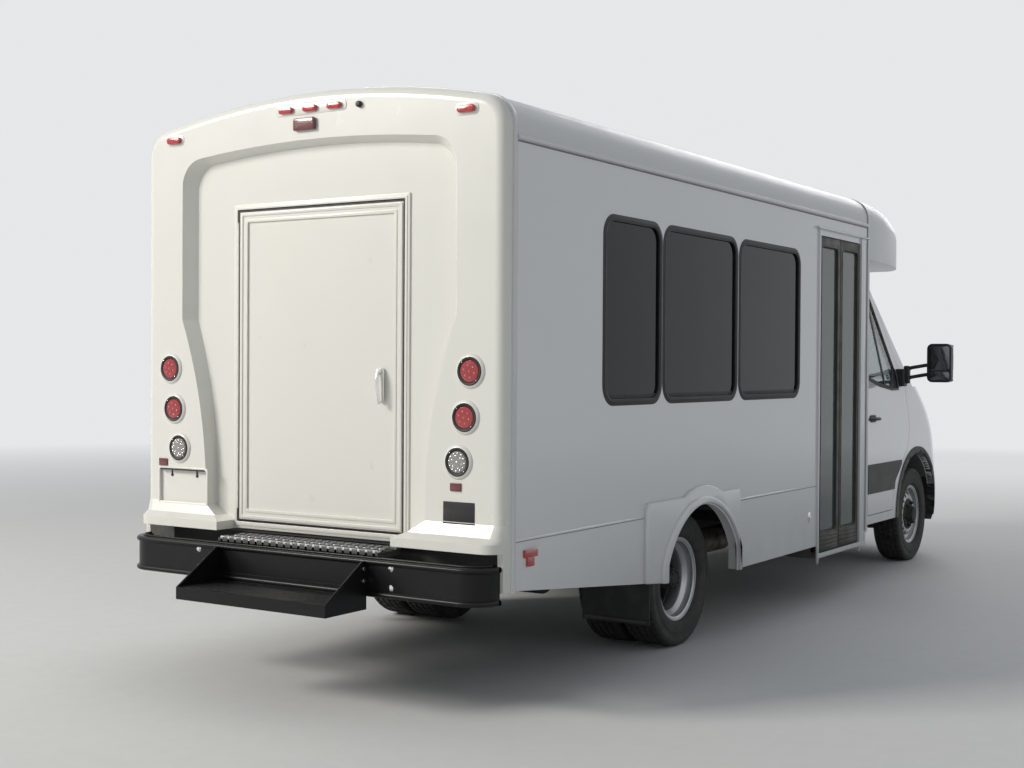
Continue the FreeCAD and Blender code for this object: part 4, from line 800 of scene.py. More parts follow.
def makeRoundLamps():
    face, radius = lamp["faceX"], lamp["radius"]
    cups, rings, screws = [], [], []
    dots = {"redLens": [], "clearLens": []}
    lenses = {"redLens": [], "clearLens": []}
    for across, up, kind in lamp["round"]:
        for side in (1, -1):
            y = across * side
            cups.append(addDisc(face + 0.002, y, up, [(0.0, radius + 0.019), (0.004, radius + 0.017),
                                                      (0.011, radius + 0.0075), (0.0125, radius + 0.004),
                                                      (0.012, radius - 0.003), (0.0, radius - 0.006)]))
            rings.append(addDisc(face + 0.002, y, up, [(0.008, radius + 0.004), (0.0135, radius + 0.003),
                                                       (0.0165, radius - 0.0005), (0.0165, radius - 0.0045),
                                                       (0.0140, radius - 0.0085), (0.0100, radius - 0.0125),
                                                       (0.0040, radius - 0.0125)]))
            inside = radius - 0.0115
            lenses[kind].append(addDisc(face + 0.002, y, up,
                                        [(0.0, inside), (0.0095, inside), (0.0125, inside - 0.0025),
                                         (0.0142, inside * 0.66), (0.0150, inside * 0.33), (0.0152, 0.0),
                                         (0.0, 0.0)]))
            spots = [(y, up)] + ringPoints((y, up), inside * 0.56, 6, 0.3)
            if kind == "clearLens":
                spots += ringPoints((y, up), inside * 0.80, 12, 0.1)
            for py, pz in spots:
                dots[kind].append(addDisc(face - 0.0125, py, pz,
                                          [(0.0, lamp["dot"]), (0.0014, lamp["dot"] * 0.9),
                                           (0.0030, lamp["dot"] * 0.5), (0.0034, 0.0), (0.0, 0.0)], 12))
            for turn in (0.8, 3.94):
                py, pz = y + (radius - 0.0055) * math.cos(turn), up + (radius - 0.0055) * math.sin(turn)
                screws.append(addDisc(face - 0.0125, py, pz, [(0.0, 0.0026), (0.0028, 0.0022), (0.0036, 0.0),
                                                              (0.0, 0.0)], 10))
    finishPiece(cups, "lampBosses", "capWhite", "body")
    finishPiece(rings, "lampRings", "gasketBlack", "body")
    red = finishPiece(lenses["redLens"], "redLamps", "redLens", "body")
    finishPiece(lenses["clearLens"], "reverseLamps", "clearLens", "body")
    finishPiece(dots["redLens"], "redDots", "lampDot", "body")
    finishPiece(dots["clearLens"], "clearDots", "chrome", "body")
    finishPiece(screws, "lampScrews", "chrome", "body")
    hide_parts("rear_lamps")


def addPill(x, y, z, halfWide, halfTall, depth, bevel=0.004, corner=None):
    # A moulded lens with soft edges on the rear face.
    corner = corner or halfTall * 0.9
    piece = addPlate(roundRectangle(y - halfWide, y + halfWide, z - halfTall, z + halfTall, corner, 6), "X",
                     x, -depth)
    softenEdges(piece, bevel, 3)
    return piece


def makeMarkers():
    face = lamp["faceX"]
    red, bases, dark = [], [], []
    for y, z in lamp["corner"]:
        bases.append(addPill(face + 0.003, y, z, 0.064, 0.029, 0.006))
        red.append(addPill(face, y, z, 0.047, 0.017, 0.020, 0.006))
    bases.append(addPill(face + 0.003, 0.0, lamp["topHeight"], 0.222, 0.027, 0.0055))
    for y in lamp["top"]:
        red.append(addPill(face, y, lamp["topHeight"], 0.043, 0.015, 0.019, 0.006))
    y, z = lamp["brake"]
    dark.append(addPill(face + 0.002, y, z, 0.066, 0.030, 0.024, 0.007, 0.010))
    for y, z in lamp["reflectors"]:
        dark.append(addPill(face + 0.001, y, z, 0.030, 0.019, 0.007, 0.0015, 0.004))
    finishPiece(bases, "markerPockets", "capWhite", "body")
    finishPiece(red, "markerLamps", "redBright", "body")
    finishPiece(dark, "brakeLamp", "redDark", "body")


makeRoundLamps()
makeMarkers()
print("rear lamps made")


# Rear face: door frame, hinge, handle, plate pocket, plates and camera

rearDoor = {"half": 0.522, "low": 0.787, "high": 2.344, "recessX": -3.404, "doorX": -3.410, "seam": 0.005,
            "frameWide": 0.026, "frameProud": 0.0085, "handleY": -0.388, "handleZ": 1.480, "knuckles": 23,
            "knucklePitch": 0.0605}
plateSpot = {"y": 0.850, "z": 0.945, "halfWide": 0.165, "halfTall": 0.085, "faceX": -3.458}
blankPlates = {"y": -0.879, "high": (0.872, 0.962, 0.086), "low": (0.829, 0.868, 0.088), "thick": 0.0025}


def makeRearDoorTrim():
    half, low, high = rearDoor["half"], rearDoor["low"], rearDoor["high"]
    wide, proud, seam = rearDoor["frameWide"], rearDoor["frameProud"], rearDoor["seam"]
    recess, door = rearDoor["recessX"], rearDoor["doorX"]
    edge = half + seam
    outer = roundRectangle(-edge - wide, edge + wide, low - 0.040, high + seam + wide, 0.006, 3)
    inner = roundRectangle(-edge, edge, low - seam, high + seam, 0.004, 3)
    frameRing = addFrame(outer, inner, "X", recess + 0.002, -proud - 0.002, 0.0028)
    step = addFrame(roundRectangle(-edge - wide * 0.52, edge + wide * 0.52, low - 0.026,
                                   high + seam + wide * 0.52, 0.005, 3), inner, "X", recess + 0.002,
                    -proud - 0.0055, 0.0018)
    finishPiece([frameRing, step], "rearDoorFrame", "doorWhite", "body", 30)
    seal = addFrame(roundRectangle(-half + 0.0002, half - 0.0002, low, high, 0.004, 3),
                    insetRectangle((-half, half, low, high), 0.007, 0.004, 3), "X", door - 0.0002, -0.0022,
                    0.0008)
    finishPiece(seal, "rearDoorSeal", "gasketBlack", "rear_door", 30)
    beads = []
    for inset, thick in ((0.012, 0.0042), (0.044, 0.0030)):
        outer = insetRectangle((-half, half, low, high), inset, 0.006, 3)
        inner = insetRectangle((-half, half, low, high), inset + 0.016, 0.006, 3)
        beads.append(addFrame(outer, inner, "X", door + 0.006, -thick - 0.006, 0.0012))
    finishPiece(beads, "rearDoorBeads", "doorWhite", "rear_door", 30)
    gap = addPlate(roundRectangle(-edge + 0.0005, edge - 0.0005, high + 0.0006, high + seam - 0.0002, 0.0004,
                                  1), "X", recess - 0.001, 0.03)
    finishPiece(gap, "rearDoorHeadSeal", "gasketBlack", "body", 30)


def makeRearHandle():
    x, y, z = rearDoor["doorX"], rearDoor["handleY"], rearDoor["handleZ"]
    base = addPlate(roundRectangle(y - 0.019, y + 0.019, z - 0.082, z + 0.082, 0.018, 8), "X", x + 0.002,
                    -0.009)
    softenEdges(base, 0.003, 3)
    neck = addDisc(x - 0.006, y, z + 0.062, [(0.0, 0.014), (0.018, 0.012), (0.024, 0.010), (0.027, 0.0),
                                             (0.0, 0.0)], 28)
    lever = addTube([(x - 0.026, y, z + 0.066), (x - 0.036, y - 0.001, z + 0.045),
                     (x - 0.039, y - 0.004, z - 0.01), (x - 0.037, y - 0.009, z - 0.060),
                     (x - 0.031, y - 0.012, z - 0.088)], 0.0075, sides=5)
    finishPiece([base, neck, lever], "rearHandle", "chrome", "rear_door", 45)
    slot = addPlate(roundRectangle(y - 0.009, y + 0.009, z - 0.068, z + 0.036, 0.0088, 8), "X", x - 0.0062,
                    -0.0016)
    finishPiece(slot, "rearHandleSlot", "gasketBlack", "rear_door")


def makeRearHinge():
    x, y = rearDoor["recessX"] - 0.0065, rearDoor["half"] + rearDoor["seam"] / 2
    knuckles = [addRod((x, y, low), (x, y, low + 0.058), 0.0064, 20, 0.0008)
                for low in [rearDoor["low"] + 0.065 + rearDoor["knucklePitch"] * step
                            for step in range(rearDoor["knuckles"])]]
    finishPiece(knuckles, "rearHinge", "doorWhite", "rear_door")


def makePlatePocket():
    spot = plateSpot
    y, z, wide, tall = spot["y"], spot["z"], spot["halfWide"], spot["halfTall"]
    face = lamp["faceX"]
    pocket = (y - wide, y + wide, z - tall, z + tall)
    rim = addFrame(insetRectangle(pocket, -0.013, 0.016, 5), roundRectangle(*pocket, 0.010, 5), "X",
                   face + 0.003, -0.008, 0.003)
    finishPiece(rim, "platePocketRim", "capWhite", "body")
    hood = addPlate(roundRectangle(y - wide + 0.01, y + wide - 0.01, z + tall - 0.004, z + tall + 0.004,
                                   0.003, 2), "X", face + 0.004, -0.016)
    clips = []
    for shift in (-0.089, 0.089):
        clips.append(addDisc(spot["faceX"], y + shift, z + 0.055,
                             [(0.0, 0.0085), (0.003, 0.0085), (0.005, 0.0065), (0.0055, 0.0), (0.0, 0.0)],
                             24))
        clips.append(addRod((spot["faceX"] - 0.002, y + shift, z + 0.06),
                            (spot["faceX"] - 0.002, y + shift, z + 0.083), 0.0035, 10, 0.0005))
    finishPiece([hood] + clips, "plateClips", "trimBlack", "body")


def makeBlankPlates():
    y, face = blankPlates["y"], lamp["faceX"]
    plates = []
    for low, high, half in (blankPlates["high"], blankPlates["low"]):
        plates.append(addPlate(roundRectangle(y - half, y + half, low, high, 0.003, 3), "X", face + 0.0005,
                               -blankPlates["thick"]))
    piece = joinAll(plates)
    softenEdges(piece, 0.0006)
    finishPiece(piece, "blankPlates", "plateBlack", "body")


def makeCameraNub():
    y, z = lamp["camera"]
    nub = addDisc(lamp["faceX"] + 0.001, y, z, [(0.0, 0.016), (0.016, 0.0145), (0.022, 0.010), (0.023, 0.0),
                                                (0.0, 0.0)])
    finishPiece(nub, "rearCamera", "trimBlack", "body")


makeRearDoorTrim()
makeRearHandle()
makeRearHinge()
makePlatePocket()
makeBlankPlates()
makeCameraNub()
print("rear face dressed")


# Bumper, grip tread and step

bumper = {"faceX": -3.604, "rearY": 1.1035, "low": 0.518, "high": 0.688, "corner": 0.130, "endX": -3.478,
          "lipRadius": 0.013, "lipOut": 0.004}
tread = {"low": 0.688, "high": 0.725, "rearX": -3.574, "frontX": -3.396, "half": 0.500, "teeth": 22}
stepBox = {"half": 0.460, "nearX": -3.604, "farX": -3.894, "top": 0.515, "lip": 0.058, "rise": 0.165}


def bumperLine(out, steps=10):
    # The bumper's outline seen from above, as (x, y), from the right end to the left one.
    face, side = bumper["faceX"] - out, bumper["rearY"] + out
    corner = bumper["corner"] + out
    points = []
    for step in range(steps + 1):
        turn = math.radians(90 * step / steps)
        points.append((face + corner - corner * math.sin(turn), corner - side - corner * math.cos(turn)))
    left = [(x, -y) for x, y in reversed(points)]
    return [(bumper["endX"], -side)] + points + left + [(bumper["endX"], side)]


def makeBumperTrim():
    lips = []
    for z, out in ((bumper["low"] + 0.012, bumper["lipOut"]), (bumper["high"] - 0.012, bumper["lipOut"])):
        lips.append(addTube([(x, y, z) for x, y in bumperLine(out - bumper["lipRadius"] + 0.009)],
                            bumper["lipRadius"], sides=5))
    strip = addTube([(x, y, bumper["high"] + 0.003) for x, y in bumperLine(-0.026)], 0.006, sides=3)
    finishPiece(lips + [strip], "bumperLips", "bumperBlack", "body", 50)
    bolts = []
    for y, z in ((-0.600, 0.655), (-0.600, 0.565), (0.600, 0.655), (0.600, 0.565)):
        bolts.append(addDisc(bumper["faceX"], y, z, [(0.0, 0.0155), (0.002, 0.0150), (0.004, 0.0120),
                                                     (0.008, 0.0090), (0.0095, 0.0), (0.0, 0.0)], 28))
    finishPiece(bolts, "bumperBolts", "chrome", "body")


def makeTread():
    low, high, rear, front, half = tread["low"], tread["high"], tread["rearX"], tread["frontX"], tread["half"]
    plank = addBlock((rear, -half, low), (front, half, high - 0.010), 0.002)
    fence = [addBlock((rear, -half, low), (rear + 0.006, half, high - 0.024), 0.0015),
             addBlock((front - 0.006, -half, low), (front, half, high), 0.0015)]
    ribs = [addBlock((rear + 0.052, -half, high - 0.011), (rear + 0.058, half, high - 0.001), 0.001),
            addBlock((front - 0.058, -half, high - 0.011), (front - 0.052, half, high - 0.001), 0.001)]
    pitch = half * 2 / tread["teeth"]
    cups, teeth, comb = [], [], []
    for step in range(tread["teeth"]):
        y = -half + pitch * (step + 0.5)
        comb.append(addBlock((rear, y - 0.0085, low + 0.002), (rear + 0.0055, y + 0.0085, high), 0.0020))
    for row, x in enumerate((rear + 0.029, (rear + front) / 2, front - 0.029)):
        for step in range(tread["teeth"] - row % 2):
            y = -half + pitch * (step + 0.5 + 0.5 * (row % 2))
            cups.append(addRod((x, y, high - 0.013), (x, y, high + 0.002), 0.0165, 14))
            tooth = addTurned([(0.0, 0.0205), (0.0, 0.0168), (0.0095, 0.0172), (0.0075, 0.0190)],
                              (x, y, high - 0.0105), 12, (0, 0, 1))
            teeth.append(tooth)
    cutWith(plank, joinAll(cups))
    finishPiece(comb + teeth, "treadTeeth", "gripAluminium", "body", 40)
    # Plank, fences and ribs take the darkened aluminium as painted shade, against the bright teeth.
    piece = finishPiece([plank] + fence + ribs, "gripTread", "treadPaintedShade", "body", 40)
    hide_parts("tread_plate")


def makeStepDetails():
    half, near, far, top = stepBox["half"], stepBox["nearX"], stepBox["farX"], stepBox["top"]
    rise = stepBox["rise"]
    hems = []
    for side in (1, -1):
        y = (half - 0.004) * side
        hems.append(addTube([(near - 0.004, y, top + rise - 0.006), (near - 0.030, y, top + rise - 0.004),
                             (far + 0.0068, y, top - 0.002)], 0.0058, sides=4))
    hems.append(addTube([(far + 0.0068, -half, top - stepBox["lip"] + 0.005),
                         (far + 0.0068, half, top - stepBox["lip"] + 0.005)], 0.0058, sides=4))
    ribs = [addBlock((far + 0.03 + 0.022 * step, -half + 0.02, top - 0.001),
                     (far + 0.036 + 0.022 * step, half - 0.02, top + 0.0022), 0.0008) for step in range(8)]
    finishPiece(hems + ribs, "stepHems", "bumperBlack", "body", 50)
    bolts = []
    for side in (1, -1):
        for z in (0.645, 0.590):
            start = half * side
            bolts.append(addRod((near - 0.022, start, z), (near - 0.022, start + 0.006 * side, z), 0.010, 6,
                                0.001))
    finishPiece(bolts, "stepBolts", "chrome", "body")


makeBumperTrim()
makeTread()
makeStepDetails()
print("bumper, tread and step dressed")


# Sides: window rubbers, rails, seam bands, wheel-arch flares and small fittings

side = {"face": 1.1175, "glassFace": 1.1075, "windowLow": 1.385, "windowHigh": 2.323, "corner": 0.100,
        "rubberOut": 0.008, "rubberIn": 0.026, "railTall": 0.022,
        "right": ((-2.581, -1.954), (-1.932, -0.978), (-0.951, 0.005)),
        "left": ((-2.581, -1.954), (-1.932, -0.978), (-0.951, 0.005), (0.032, 0.986)), "rearSeam": -3.394,
        "frontSeam": 1.310, "roofSeam": 2.592, "crown": 4.8, "roofTop": 2.890, "roofCorner": 0.150,
        "lapLine": 0.789}


def makeWindowRubbers(word, out):
    low, high, corner = side["windowLow"], side["windowHigh"], side["corner"]
    rubbers, bars = [], []
    start = out * (side["glassFace"] - 0.0005)
    for rear, front in side[word]:
        wide, narrow = side["rubberOut"], side["rubberIn"]
        opening = (rear, front, low, high)
        outer = insetRectangle(opening, -wide, corner + wide, 10)
        inner = insetRectangle(opening, narrow, corner - narrow, 10)
        rubbers.append(addFrame(outer, inner, "Y", start, out * 0.0135, 0.0026))
        step = insetRectangle(opening, 0.010, corner - 0.010, 10)
        lip = insetRectangle(opening, 0.016, corner - 0.016, 10)
        rubbers.append(addFrame(step, lip, "Y", start, out * 0.0152, 0.0010))
        # The lower rail is deeper than the rest, and rounded into the corners.
        foot = [(px, pz) for px, pz in inner if pz < low + narrow + side["railTall"] - 0.004]
        foot.sort()
        reach = low + narrow + side["railTall"]
        bars.append(addPlate([(rear + narrow, reach)] + foot + [(front - narrow, reach)], "Y", start,
                             out * 0.0060))
        softenEdges(bars[-1], 0.0012, 2, 60)
    finishPiece(rubbers + bars, f"windowRubbers_{word}", "gasketBlack", "body", 40)


def boxLine(out, low, steps=9):
    # The body's section seen from behind, pushed out, from the right foot over the roof to the left one.
    half, radius = side["face"], side["roofCorner"]
    middleY = half - radius
    crownFoot = side["roofTop"] - side["crown"]
    middleZ = crownFoot + math.sqrt((side["crown"] - radius) ** 2 - middleY ** 2)
    end = math.atan2(middleZ - crownFoot, middleY)
    right = [(half + out, low)]
    for step in range(steps + 1):
        turn = end * step / steps
        right.append((middleY + (radius + out) * math.cos(turn), middleZ + (radius + out) * math.sin(turn)))
    reach = side["crown"] + out
    for step in range(1, steps + 1):
        turn = end + (math.pi / 2 - end) * step / steps
        right.append((reach * math.cos(turn), crownFoot + reach * math.sin(turn)))
    line = right + [(-y, z) for y, z in reversed(right[:-1])]
    return [(y, min(z, side["roofTop"] + min(out, 0.0005))) for y, z in line]


def makeSeamBands():
    bands = []
    for x, low, wide, proud in ((side["rearSeam"], 0.560, 0.030, 0.0065),
                                (side["frontSeam"], 0.400, 0.034, 0.0075)):
        outer, inner = boxLine(proud, low), boxLine(-0.003, low)
        band = addPlate(outer + list(reversed(inner)), "X", x - wide / 2, wide)
        softenEdges(band, 0.0026)
        bands.append(band)
        outer, inner = boxLine(0.0016, low), boxLine(-0.002, low)
        bands.append(addPlate(outer + list(reversed(inner)), "X",
                              x + (wide / 2 + 0.001 if x < 0 else -wide / 2 - 0.007), 0.006))
    finishPiece([bands[0], bands[2]], "seamBands", "roofWhite", "body", 30)
    finishPiece([bands[1], bands[3]], "seamSealant", "sealantAndShadeGrey", "body")


def makeRoofRail(out, word):
    face, up = side["face"], side["roofSeam"]
    rear, front = side["rearSeam"] + 0.016, side["frontSeam"] - 0.018
    profile = [(face - 0.002, up + 0.016), (face + 0.004, up + 0.015), (face + 0.0105, up + 0.009),
               (face + 0.0125, up + 0.002), (face + 0.0125, up - 0.006), (face + 0.0095, up - 0.009),
               (face + 0.0085, up - 0.004), (face + 0.0045, up - 0.002), (face + 0.0040, up - 0.012),
               (face - 0.002, up - 0.012)]
    rail = addPlate([(out * y, z) for y, z in profile], "X", rear, front - rear)
    finishPiece(rail, f"roofRail_{word}", "roofWhite", "body", 30)
    # A dark grey strip just under the rail: a painted shadow line beneath it, not sealant.
    shade = addSideBlock(out, (rear, face - 0.001, up - 0.020), (front, face + 0.0009, up - 0.0125))
    finishPiece(shade, f"roofRailShadow_{word}", "sealantAndShadeGrey", "body")


flare = {"wheelX": -1.444, "rear": 0.693, "front": 0.489, "top": 0.863, "hump": 0.914, "humpHalf": 0.238,
         "archHalf": 0.467, "spring": 0.520, "archTop": 0.813, "foot": 0.422, "low": 0.384, "out": 0.024,
         "edge": 0.0105, "lipOut": 0.036}


def arcAbove(half, foot, top, steps, shift=0.0):
    # A shallow arc from the front foot over the top to the rear foot, as (x, z).
    rise = top - foot
    radius = (half * half + rise * rise) / (2 * rise)
    middle = top - radius
    end = math.atan2(foot - middle, half)
    turns = [end + (math.pi - 2 * end) * step / steps for step in range(steps + 1)]
    return [(shift + radius * math.cos(turn), middle + radius * math.sin(turn)) for turn in turns]


def makeFlare(out, word):
    x, top = flare["wheelX"], flare["top"]
    arch = arcAbove(flare["archHalf"], flare["spring"], flare["archTop"], 36, x)
    hump = arcAbove(flare["humpHalf"], top, flare["hump"], 18, x)
    outline = [(x - flare["rear"], flare["foot"] + 0.024), (x - flare["archHalf"], flare["foot"])]
    outline += list(reversed(arch)) + [(x + flare["archHalf"], flare["low"]),
                                       (x + flare["front"], flare["low"])]
    outline += [(x + flare["front"], top - 0.03), (x + flare["front"] - 0.02, top)] + hump
    outline += [(x - flare["rear"] + 0.03, top), (x - flare["rear"], top - 0.03)]
    cover = addPlate(outline, "Y", out * (side["face"] - 0.001), out * (flare["out"] + 0.001))
    softenEdges(cover, flare["edge"], 4, 60)
    arch = arcAbove(flare["archHalf"] - 0.001, flare["spring"], flare["archTop"] - 0.001, 36, x)
    rim = addTube([(px, out * (side["face"] + 0.012), pz)
                   for px, pz in [(x + flare["archHalf"] - 0.001, flare["low"])] + arch +
                   [(x - flare["archHalf"] + 0.001, flare["foot"])]], 0.0065, sides=3)
    # The rolled lip round the opening stands further out than the panel.
    half, tall = flare["archHalf"], flare["lipOut"]
    lipArch = arcAbove(half + 0.045, flare["spring"], flare["archTop"] + 0.040, 36, x - 0.024)
    lipLine = [(x + half, flare["low"])] + arcAbove(half, flare["spring"], flare["archTop"], 36, x)
    lipLine += [(x - half, flare["foot"]),
                (x - half - 0.069, flare["foot"] + 0.008)] + list(reversed(lipArch))
    lip = addPlate(lipLine + [(x + half + 0.021, flare["low"])], "Y", out * (side["face"] + 0.004),
                   out * tall)
    softenEdges(lip, 0.0125, 5, 60)
    finishPiece([cover, rim, lip], f"archFlare_{word}", "bodyWhite", "body", 40)


def makeLapLines(out, word):
    up, face = side["lapLine"], side["face"]
    ends = [(side["rearSeam"] + 0.016, flare["wheelX"] - flare["rear"])]
    ends.append((flare["wheelX"] + flare["front"], 0.330 if word == "right" else side["frontSeam"] - 0.018))
    beads, lines = [], []
    for rear, front in ends:
        profile = [(face - 0.001, up + 0.010), (face + 0.0030, up + 0.007), (face + 0.0030, up),
                   (face - 0.001, up - 0.001)]
        beads.append(addPlate([(out * y, z) for y, z in profile], "X", rear, front - rear))
        # Under each bead a thin dark grey strip: painted shadow beneath the proud lap bead.
        lines.append(addSideBlock(out, (rear, face - 0.001, up - 0.0045),
                                  (front, face + 0.0007, up - 0.0008)))
    finishPiece(beads, f"lapBeads_{word}", "bodyWhite", "body", 30)
    finishPiece(lines, f"lapShadowLines_{word}", "sealantAndShadeGrey", "body")


fitting = {"markerX": -3.256, "markerZ": 0.712, "switchX": 0.198, "switchZ": 0.592, "fillerX": 1.10,
           "fillerZ": 0.905, "fillerHalf": 0.089, "flapX": -1.974, "flapInner": 0.660, "flapOuter": 1.0675,
           "flapTop": 0.730}


def makeSideMarkers():
    x, z, face = fitting["markerX"], fitting["markerZ"], side["face"]
    lenses, bases = [], []
    for out in (1, -1):
        for halfWide, low, high, deep in ((0.055, z - 0.002, z + 0.034, 0.017),
                                          (0.030, z - 0.044, z + 0.002, 0.014)):
            spread = (x - halfWide, x + halfWide, low, high)
            lens = addPlate(roundRectangle(*spread, 0.006, 4), "Y", out * (face - 0.001), out * deep)
            softenEdges(lens, 0.004, 3)
            lenses.append(lens)
            base = insetRectangle(spread, -0.004, 0.007, 4)
            bases.append(addPlate(base, "Y", out * (face - 0.001), out * 0.004))
    finishPiece(lenses, "sideMarkers", "redBright", "body")
    finishPiece(bases, "sideMarkerBases", "bodyWhite", "body")


def makeKeySwitch():
    x, z, y = fitting["switchX"], fitting["switchZ"], -side["face"]
    plate = addPlate(roundRectangle(x - 0.021, x + 0.021, z - 0.034, z + 0.034, 0.020, 8), "Y", y + 0.001,
                     -0.005)
    softenEdges(plate, 0.0018)
    barrel = addTurned([(0.0, 0.013), (0.008, 0.012), (0.010, 0.0095), (0.0085, 0.0075), (0.0085, 0.0002),
                        (0.0, 0.0002)], (x, y - 0.002, z), 32, (0, -1, 0))
    finishPiece([plate, barrel], "keySwitch", "chrome", "body", 40)


def makeFiller():
    x, z, y = fitting["fillerX"], fitting["fillerZ"], side["face"]
    half = fitting["fillerHalf"]
    lidSpread = (x - half, x + half, z - half, z + half)
    gap = addPlate(insetRectangle(lidSpread, -0.005, 0.030, 6), "Y", y - 0.001, 0.0022)
    finishPiece(gap, "fillerGap", "gasketBlack", "body")
    lid = addPlate(roundRectangle(*lidSpread, 0.026, 6), "Y", y - 0.001, 0.0062)
    softenEdges(lid, 0.0024, 3)
    pull = addPlate(roundRectangle(x + 0.058, x + 0.076, z - 0.022, z + 0.022, 0.006, 4), "Y", y + 0.004,
                    0.0045)
    softenEdges(pull, 0.0015)
    finishPiece([lid, pull], "fillerLid", "bodyWhite", "body", 35)


def makeFlapStrips():
    pieces = []
    x, top = fitting["flapX"], fitting["flapTop"]
    for out in (1, -1):
        inner, outer = fitting["flapInner"] * out, fitting["flapOuter"] * out
        low, high = min(inner, outer) + 0.004, max(inner, outer) - 0.004
        pieces.append(addBlock((x - 0.010, low, top - 0.052), (x + 0.012, high, top - 0.012), 0.0015))
        for share in (0.12, 0.5, 0.88):
            y = low + (high - low) * share
            pieces.append(addRod((x - 0.008, y, top - 0.032), (x - 0.017, y, top - 0.032), 0.010, 6, 0.001))
        pieces.append(addBlock((x - 0.0065, low + 0.01, 0.203), (x + 0.0085, high - 0.01, 0.222), 0.002))
    finishPiece(pieces, "flapStrips", "chassisBlack", "body")


for out, word in ((1, "left"), (-1, "right")):
    makeWindowRubbers(word, out)
    makeRoofRail(out, word)
    makeFlare(out, word)
    makeLapLines(out, word)
makeSeamBands()
makeSideMarkers()
makeKeySwitch()
makeFiller()
makeFlapStrips()
print("sides dressed")


# Entry: two framed glass leaves with their rubbers, jambs, header and sill

entry = {"rear": 0.351, "front": 1.148, "low": 0.340, "high": 2.447, "face": -1.1175, "back": -1.0825,
         "seam": 0.005, "stile": 0.046, "foot": 0.130, "head": 0.065, "middle": 0.7495, "headerZ": 2.497,
         "sillLow": 0.303, "sillHigh": 0.335, "jambTip": 0.262, "nosings": ((0.030, 0.335), (0.275, 0.555))}


def makeLeaf(rear, front, word):
    low, high, face, back = entry["low"], entry["high"], entry["face"], entry["back"]
    stile = entry["stile"]
    body = f"entry_leaf_{word}"
    outer = [(rear, low), (front, low), (front, high), (rear, high)]
    opening = (rear + stile, front - stile, low + entry["foot"], high - entry["head"])
    glassHole = roundRectangle(*opening, 0.030, 6)
    leafFrame = addFrame(outer, glassHole, "Y", face + 0.0015, back - face - 0.0015, 0.004)
    bead = addFrame(insetRectangle(opening, -0.013, 0.042, 6), glassHole, "Y", face + 0.002, -0.0018, 0.0010)
    ribs = [addBlock((rear + 0.014, face - 0.0002, low + 0.020 + 0.026 * step),
                     (front - 0.014, face + 0.004, low + 0.034 + 0.026 * step), 0.0015) for step in range(4)]
    piece = finishPiece([leafFrame, bead] + ribs, f"leafFrame_{word}", "bronzeFrame", body, 35)
    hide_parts(body)
    pane = addPlate(insetRectangle(opening, -0.008, 0.036, 6), "Y", face + 0.014, 0.006)
    finishPiece(pane, f"leafGlass_{word}", "leafGlass", body)
    gasket = addFrame(glassHole, insetRectangle(opening, 0.009, 0.024, 6), "Y", face + 0.0105, 0.013, 0.0012)
    edges = []
    edgeX = front if word == "rear" else rear
    away = -1 if word == "rear" else 1
    edges.append(addRod((edgeX + away * 0.002, face + 0.010, low + 0.01),
                        (edgeX + away * 0.002, face + 0.010, high - 0.01), 0.0042, 12))
    edges.append(addBlock((rear + 0.012, face + 0.012, low - 0.0035),
                          (front - 0.012, face + 0.022, low + 0.004), 0.001))
    finishPiece([gasket] + edges, f"leafRubbers_{word}", "gasketBlack", body, 40)
    inside = rear + stile * 0.5 if word == "front" else front - stile * 0.5
    rail = addTube([(inside, back + 0.001, 1.02), (inside, back + 0.040, 1.05), (inside, back + 0.046, 1.10),
                    (inside, back + 0.046, 1.48), (inside, back + 0.040, 1.53), (inside, back + 0.001, 1.56)],
                   0.0125, sides=5)
    finishPiece(rail, f"leafGrab_{word}", "chrome", body, 60)


def makeEntryFrame():
    face = entry["face"]
    rear, front, up = entry["rear"], entry["front"], entry["headerZ"]
    pieces = []
    header = [(face + 0.001, up + 0.013), (face - 0.012, up + 0.010), (face - 0.022, up + 0.002),
              (face - 0.023, up - 0.004), (face - 0.019, up - 0.006), (face - 0.009, up - 0.002),
              (face + 0.001, up - 0.004)]
    pieces.append(addPlate(header, "X", rear - 0.060, side["frontSeam"] - rear + 0.044))
    for left, right in ((rear - 0.022, rear - 0.001), (front + 0.001, front + 0.022)):
        outline = [(left, entry["jambTip"] + 0.035), (left + (right - left) * 0.5, entry["jambTip"]),
                   (right, entry["jambTip"] + 0.035), (right, up - 0.004), (left, up - 0.004)]
        pieces.append(addPlate(outline, "Y", face + 0.004, -0.016))
        softenEdges(pieces[-1], 0.0035, 3, 40)
    finishPiece(pieces, "entryJambs", "bodyWhite", "body", 35)
    sill = addPlate([(face + 0.001, entry["sillLow"]), (face - 0.009, entry["sillLow"] + 0.001),
                     (face - 0.012, 0.312), (face - 0.010, entry["sillHigh"] - 0.002),
                     (face + 0.001, entry["sillHigh"] - 0.001)], "X", rear, front - rear)
    finishPiece(sill, "entrySill", "roofWhite", "body")
    panel = addPlate([(front + 0.036, 0.330), (side["frontSeam"] - 0.030, 0.330),
                      (side["frontSeam"] - 0.030, 2.470), (front + 0.036, 2.470)], "Y", face + 0.001, -0.0035)
    softenEdges(panel, 0.0015)
    finishPiece(panel, "jambPanel", "bodyWhite", "body")
    strips = []
    for depth, up in entry["nosings"]:
        strips.append(addBlock((rear + 0.02, face + depth, up - 0.001),
                               (front - 0.02, face + depth + 0.030, up + 0.003), 0.001))
    finishPiece(strips, "stepNosings", "nosingYellow", "body")


makeLeaf(entry["rear"] + entry["seam"], entry["middle"] - entry["seam"] / 2, "rear")
makeLeaf(entry["middle"] + entry["seam"] / 2, entry["front"] - entry["seam"], "front")
makeEntryFrame()
print("entry dressed")


# Cab: trims cut from the cab's own surface, so that they follow its curves

